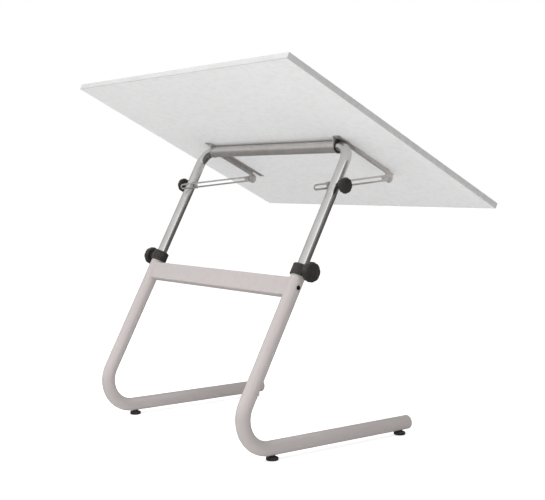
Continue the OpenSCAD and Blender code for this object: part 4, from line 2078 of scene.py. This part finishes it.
@dataclass
class Studio:
    """Pale floor, soft lights and the camera."""

    camera_at: tuple[float, float, float] = (-2.3863, 1.8488, 0.6865)
    camera_yaw: float = 37.67
    camera_pitch: float = 3.60
    focal_px: float = 1057.3
    frame_px: float = 545.0
    sensor: float = 36.0
    floor_half: float = 30.0

    def build(self) -> None:
        """Builds the studio."""
        self.floor()
        self.sky()
        self.lights()
        self.camera()
        view = bpy.context.scene.view_settings
        view.view_transform = "Standard"
        view.look = "None"

    def floor(self) -> None:
        """Pale floor, slightly mottled, with a little glow so its far end stays bright."""
        half = self.floor_half
        corners = ((-half, -half), (half, -half), (half, half), (-half, half))
        shell = Shell()
        ring = shell.add_ring(Vector((x, y, 0)) for x, y in corners)
        shell.faces.append(tuple(ring))
        floor = shell.build("studio_floor")
        material = bpy.data.materials.new("studio_paper")
        material.use_nodes = True
        w = Wiring(material.node_tree)
        mottle = w.noise(w.place(), 2.0, 4.0)
        path = w.add("LightPath")
        mirrored, seen = path.outputs["Is Glossy Ray"], path.outputs["Is Camera Ray"]
        paper = w.blend(mottle, (0.93, 0.93, 0.93), (0.95, 0.95, 0.95))
        colour = w.blend(mirrored, paper, (0.13, 0.122, 0.118))
        glow = w.blend(seen, (0.16, 0.16, 0.16), (0.62, 0.62, 0.62))
        glow = w.blend(mirrored, glow, (0.02, 0.019, 0.018))
        shader = w.add(
            "BsdfPrincipled",
            {
                "Base Color": colour,
                "Roughness": 0.9,
                "Emission Color": glow,
                "Emission Strength": 1.0,
            },
        )
        w.add("OutputMaterial", {"Surface": shader.outputs[0]})
        floor.data.materials.append(material)

    def sky(self) -> None:
        """Pale surroundings: light walls on one side, dark ones on the other."""
        world = bpy.data.worlds.new("studio")
        world.use_nodes = True
        bpy.context.scene.world = world
        w = Wiring(world.node_tree)
        way = w.add("TexCoord").outputs["Generated"]
        parts = w.add("SeparateXYZ", {0: way})
        around = w.maths("ARCTAN2", parts.outputs[1], parts.outputs[0])
        from_back = w.maths("ADD", around, math.radians(self.camera_yaw))
        share = w.maths("FRACT", w.maths("DIVIDE", from_back, TURN))
        walls = self._ring(w, share, SHEEN)
        overhead = w.ramp(parts.outputs[2], 0.7, 0.98)
        mirrored = w.blend(overhead, walls, (0.62, 0.62, 0.62))
        path = w.add("LightPath")
        glow = self._ring(w, share, GLOW)
        level = w.blend(path.outputs["Is Glossy Ray"], glow, mirrored)
        shown = w.blend(path.outputs["Is Camera Ray"], level, (1.0, 1.0, 1.0))
        ground = w.add("Background", {"Color": shown, "Strength": 1.0})
        w.add("OutputWorld", {"Surface": ground.outputs[0]})

    @staticmethod
    def _ring(w: Wiring, share: Any, stops: Sequence[Flat]) -> Any:
        """Brightness around the horizon.

        Args:
            w: the world's wiring.
            share: how far round the horizon a direction lies, from 0 to 1.
            stops: places around the horizon and their brightness.

        Returns:
            The brightness as a colour output.
        """
        ring = w.add("ValToRGB", {0: share})
        elements = ring.color_ramp.elements
        while len(elements) < len(stops):
            elements.new(0.5)
        for element, (at, level) in zip(elements, stops):
            element.position = at
            element.color = (level, level, level, 1.0)
        return ring.outputs[0]

    def lights(self) -> None:
        """Large soft lamps above, stronger on the light side."""
        for name, place, power, size in (
            ("key", (-0.4, 3.4, 3.4), 60.0, 2.6), ("overhead", (-0.3, 0.6, 3.6), 78.0, 3.0)
        ):
            lamp = bpy.data.lights.new(name, "AREA")
            lamp.energy = power
            lamp.size = size
            item = bpy.data.objects.new(name, lamp)
            item.location = place
            aim = Vector((0, 0, 0.45)) - Vector(place)
            item.rotation_euler = aim.to_track_quat("-Z", "Y").to_euler()
            item.visible_glossy = False
            link(item)

    def camera(self) -> None:
        """Camera low behind the left leg."""
        yaw, pitch = math.radians(self.camera_yaw), math.radians(self.camera_pitch)
        ahead = Vector(
            (
                math.cos(yaw) * math.cos(pitch),
                -math.sin(yaw) * math.cos(pitch),
                -math.sin(pitch),
            )
        )
        data = bpy.data.cameras.new("camera")
        data.sensor_fit = "HORIZONTAL"
        data.sensor_width = self.sensor
        data.lens = self.focal_px * self.sensor / self.frame_px
        data.clip_end = 100.0
        item = bpy.data.objects.new("camera", data)
        item.location = self.camera_at
        item.rotation_euler = ahead.to_track_quat("-Z", "Y").to_euler()
        link(item)
        bpy.context.scene.camera = item


def main() -> None:
    """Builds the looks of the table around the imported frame."""
    logging.basicConfig(level=logging.INFO, format="%(name)s: %(message)s")
    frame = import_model()
    plan = Plan.from_frame(frame)
    palette = Palette(plan)
    for part in (Stand, HeightClamp, Column, TiltClamp, Board):
        part(plan, palette).build()
    Studio().build()


if __name__ == "__main__":
    main()
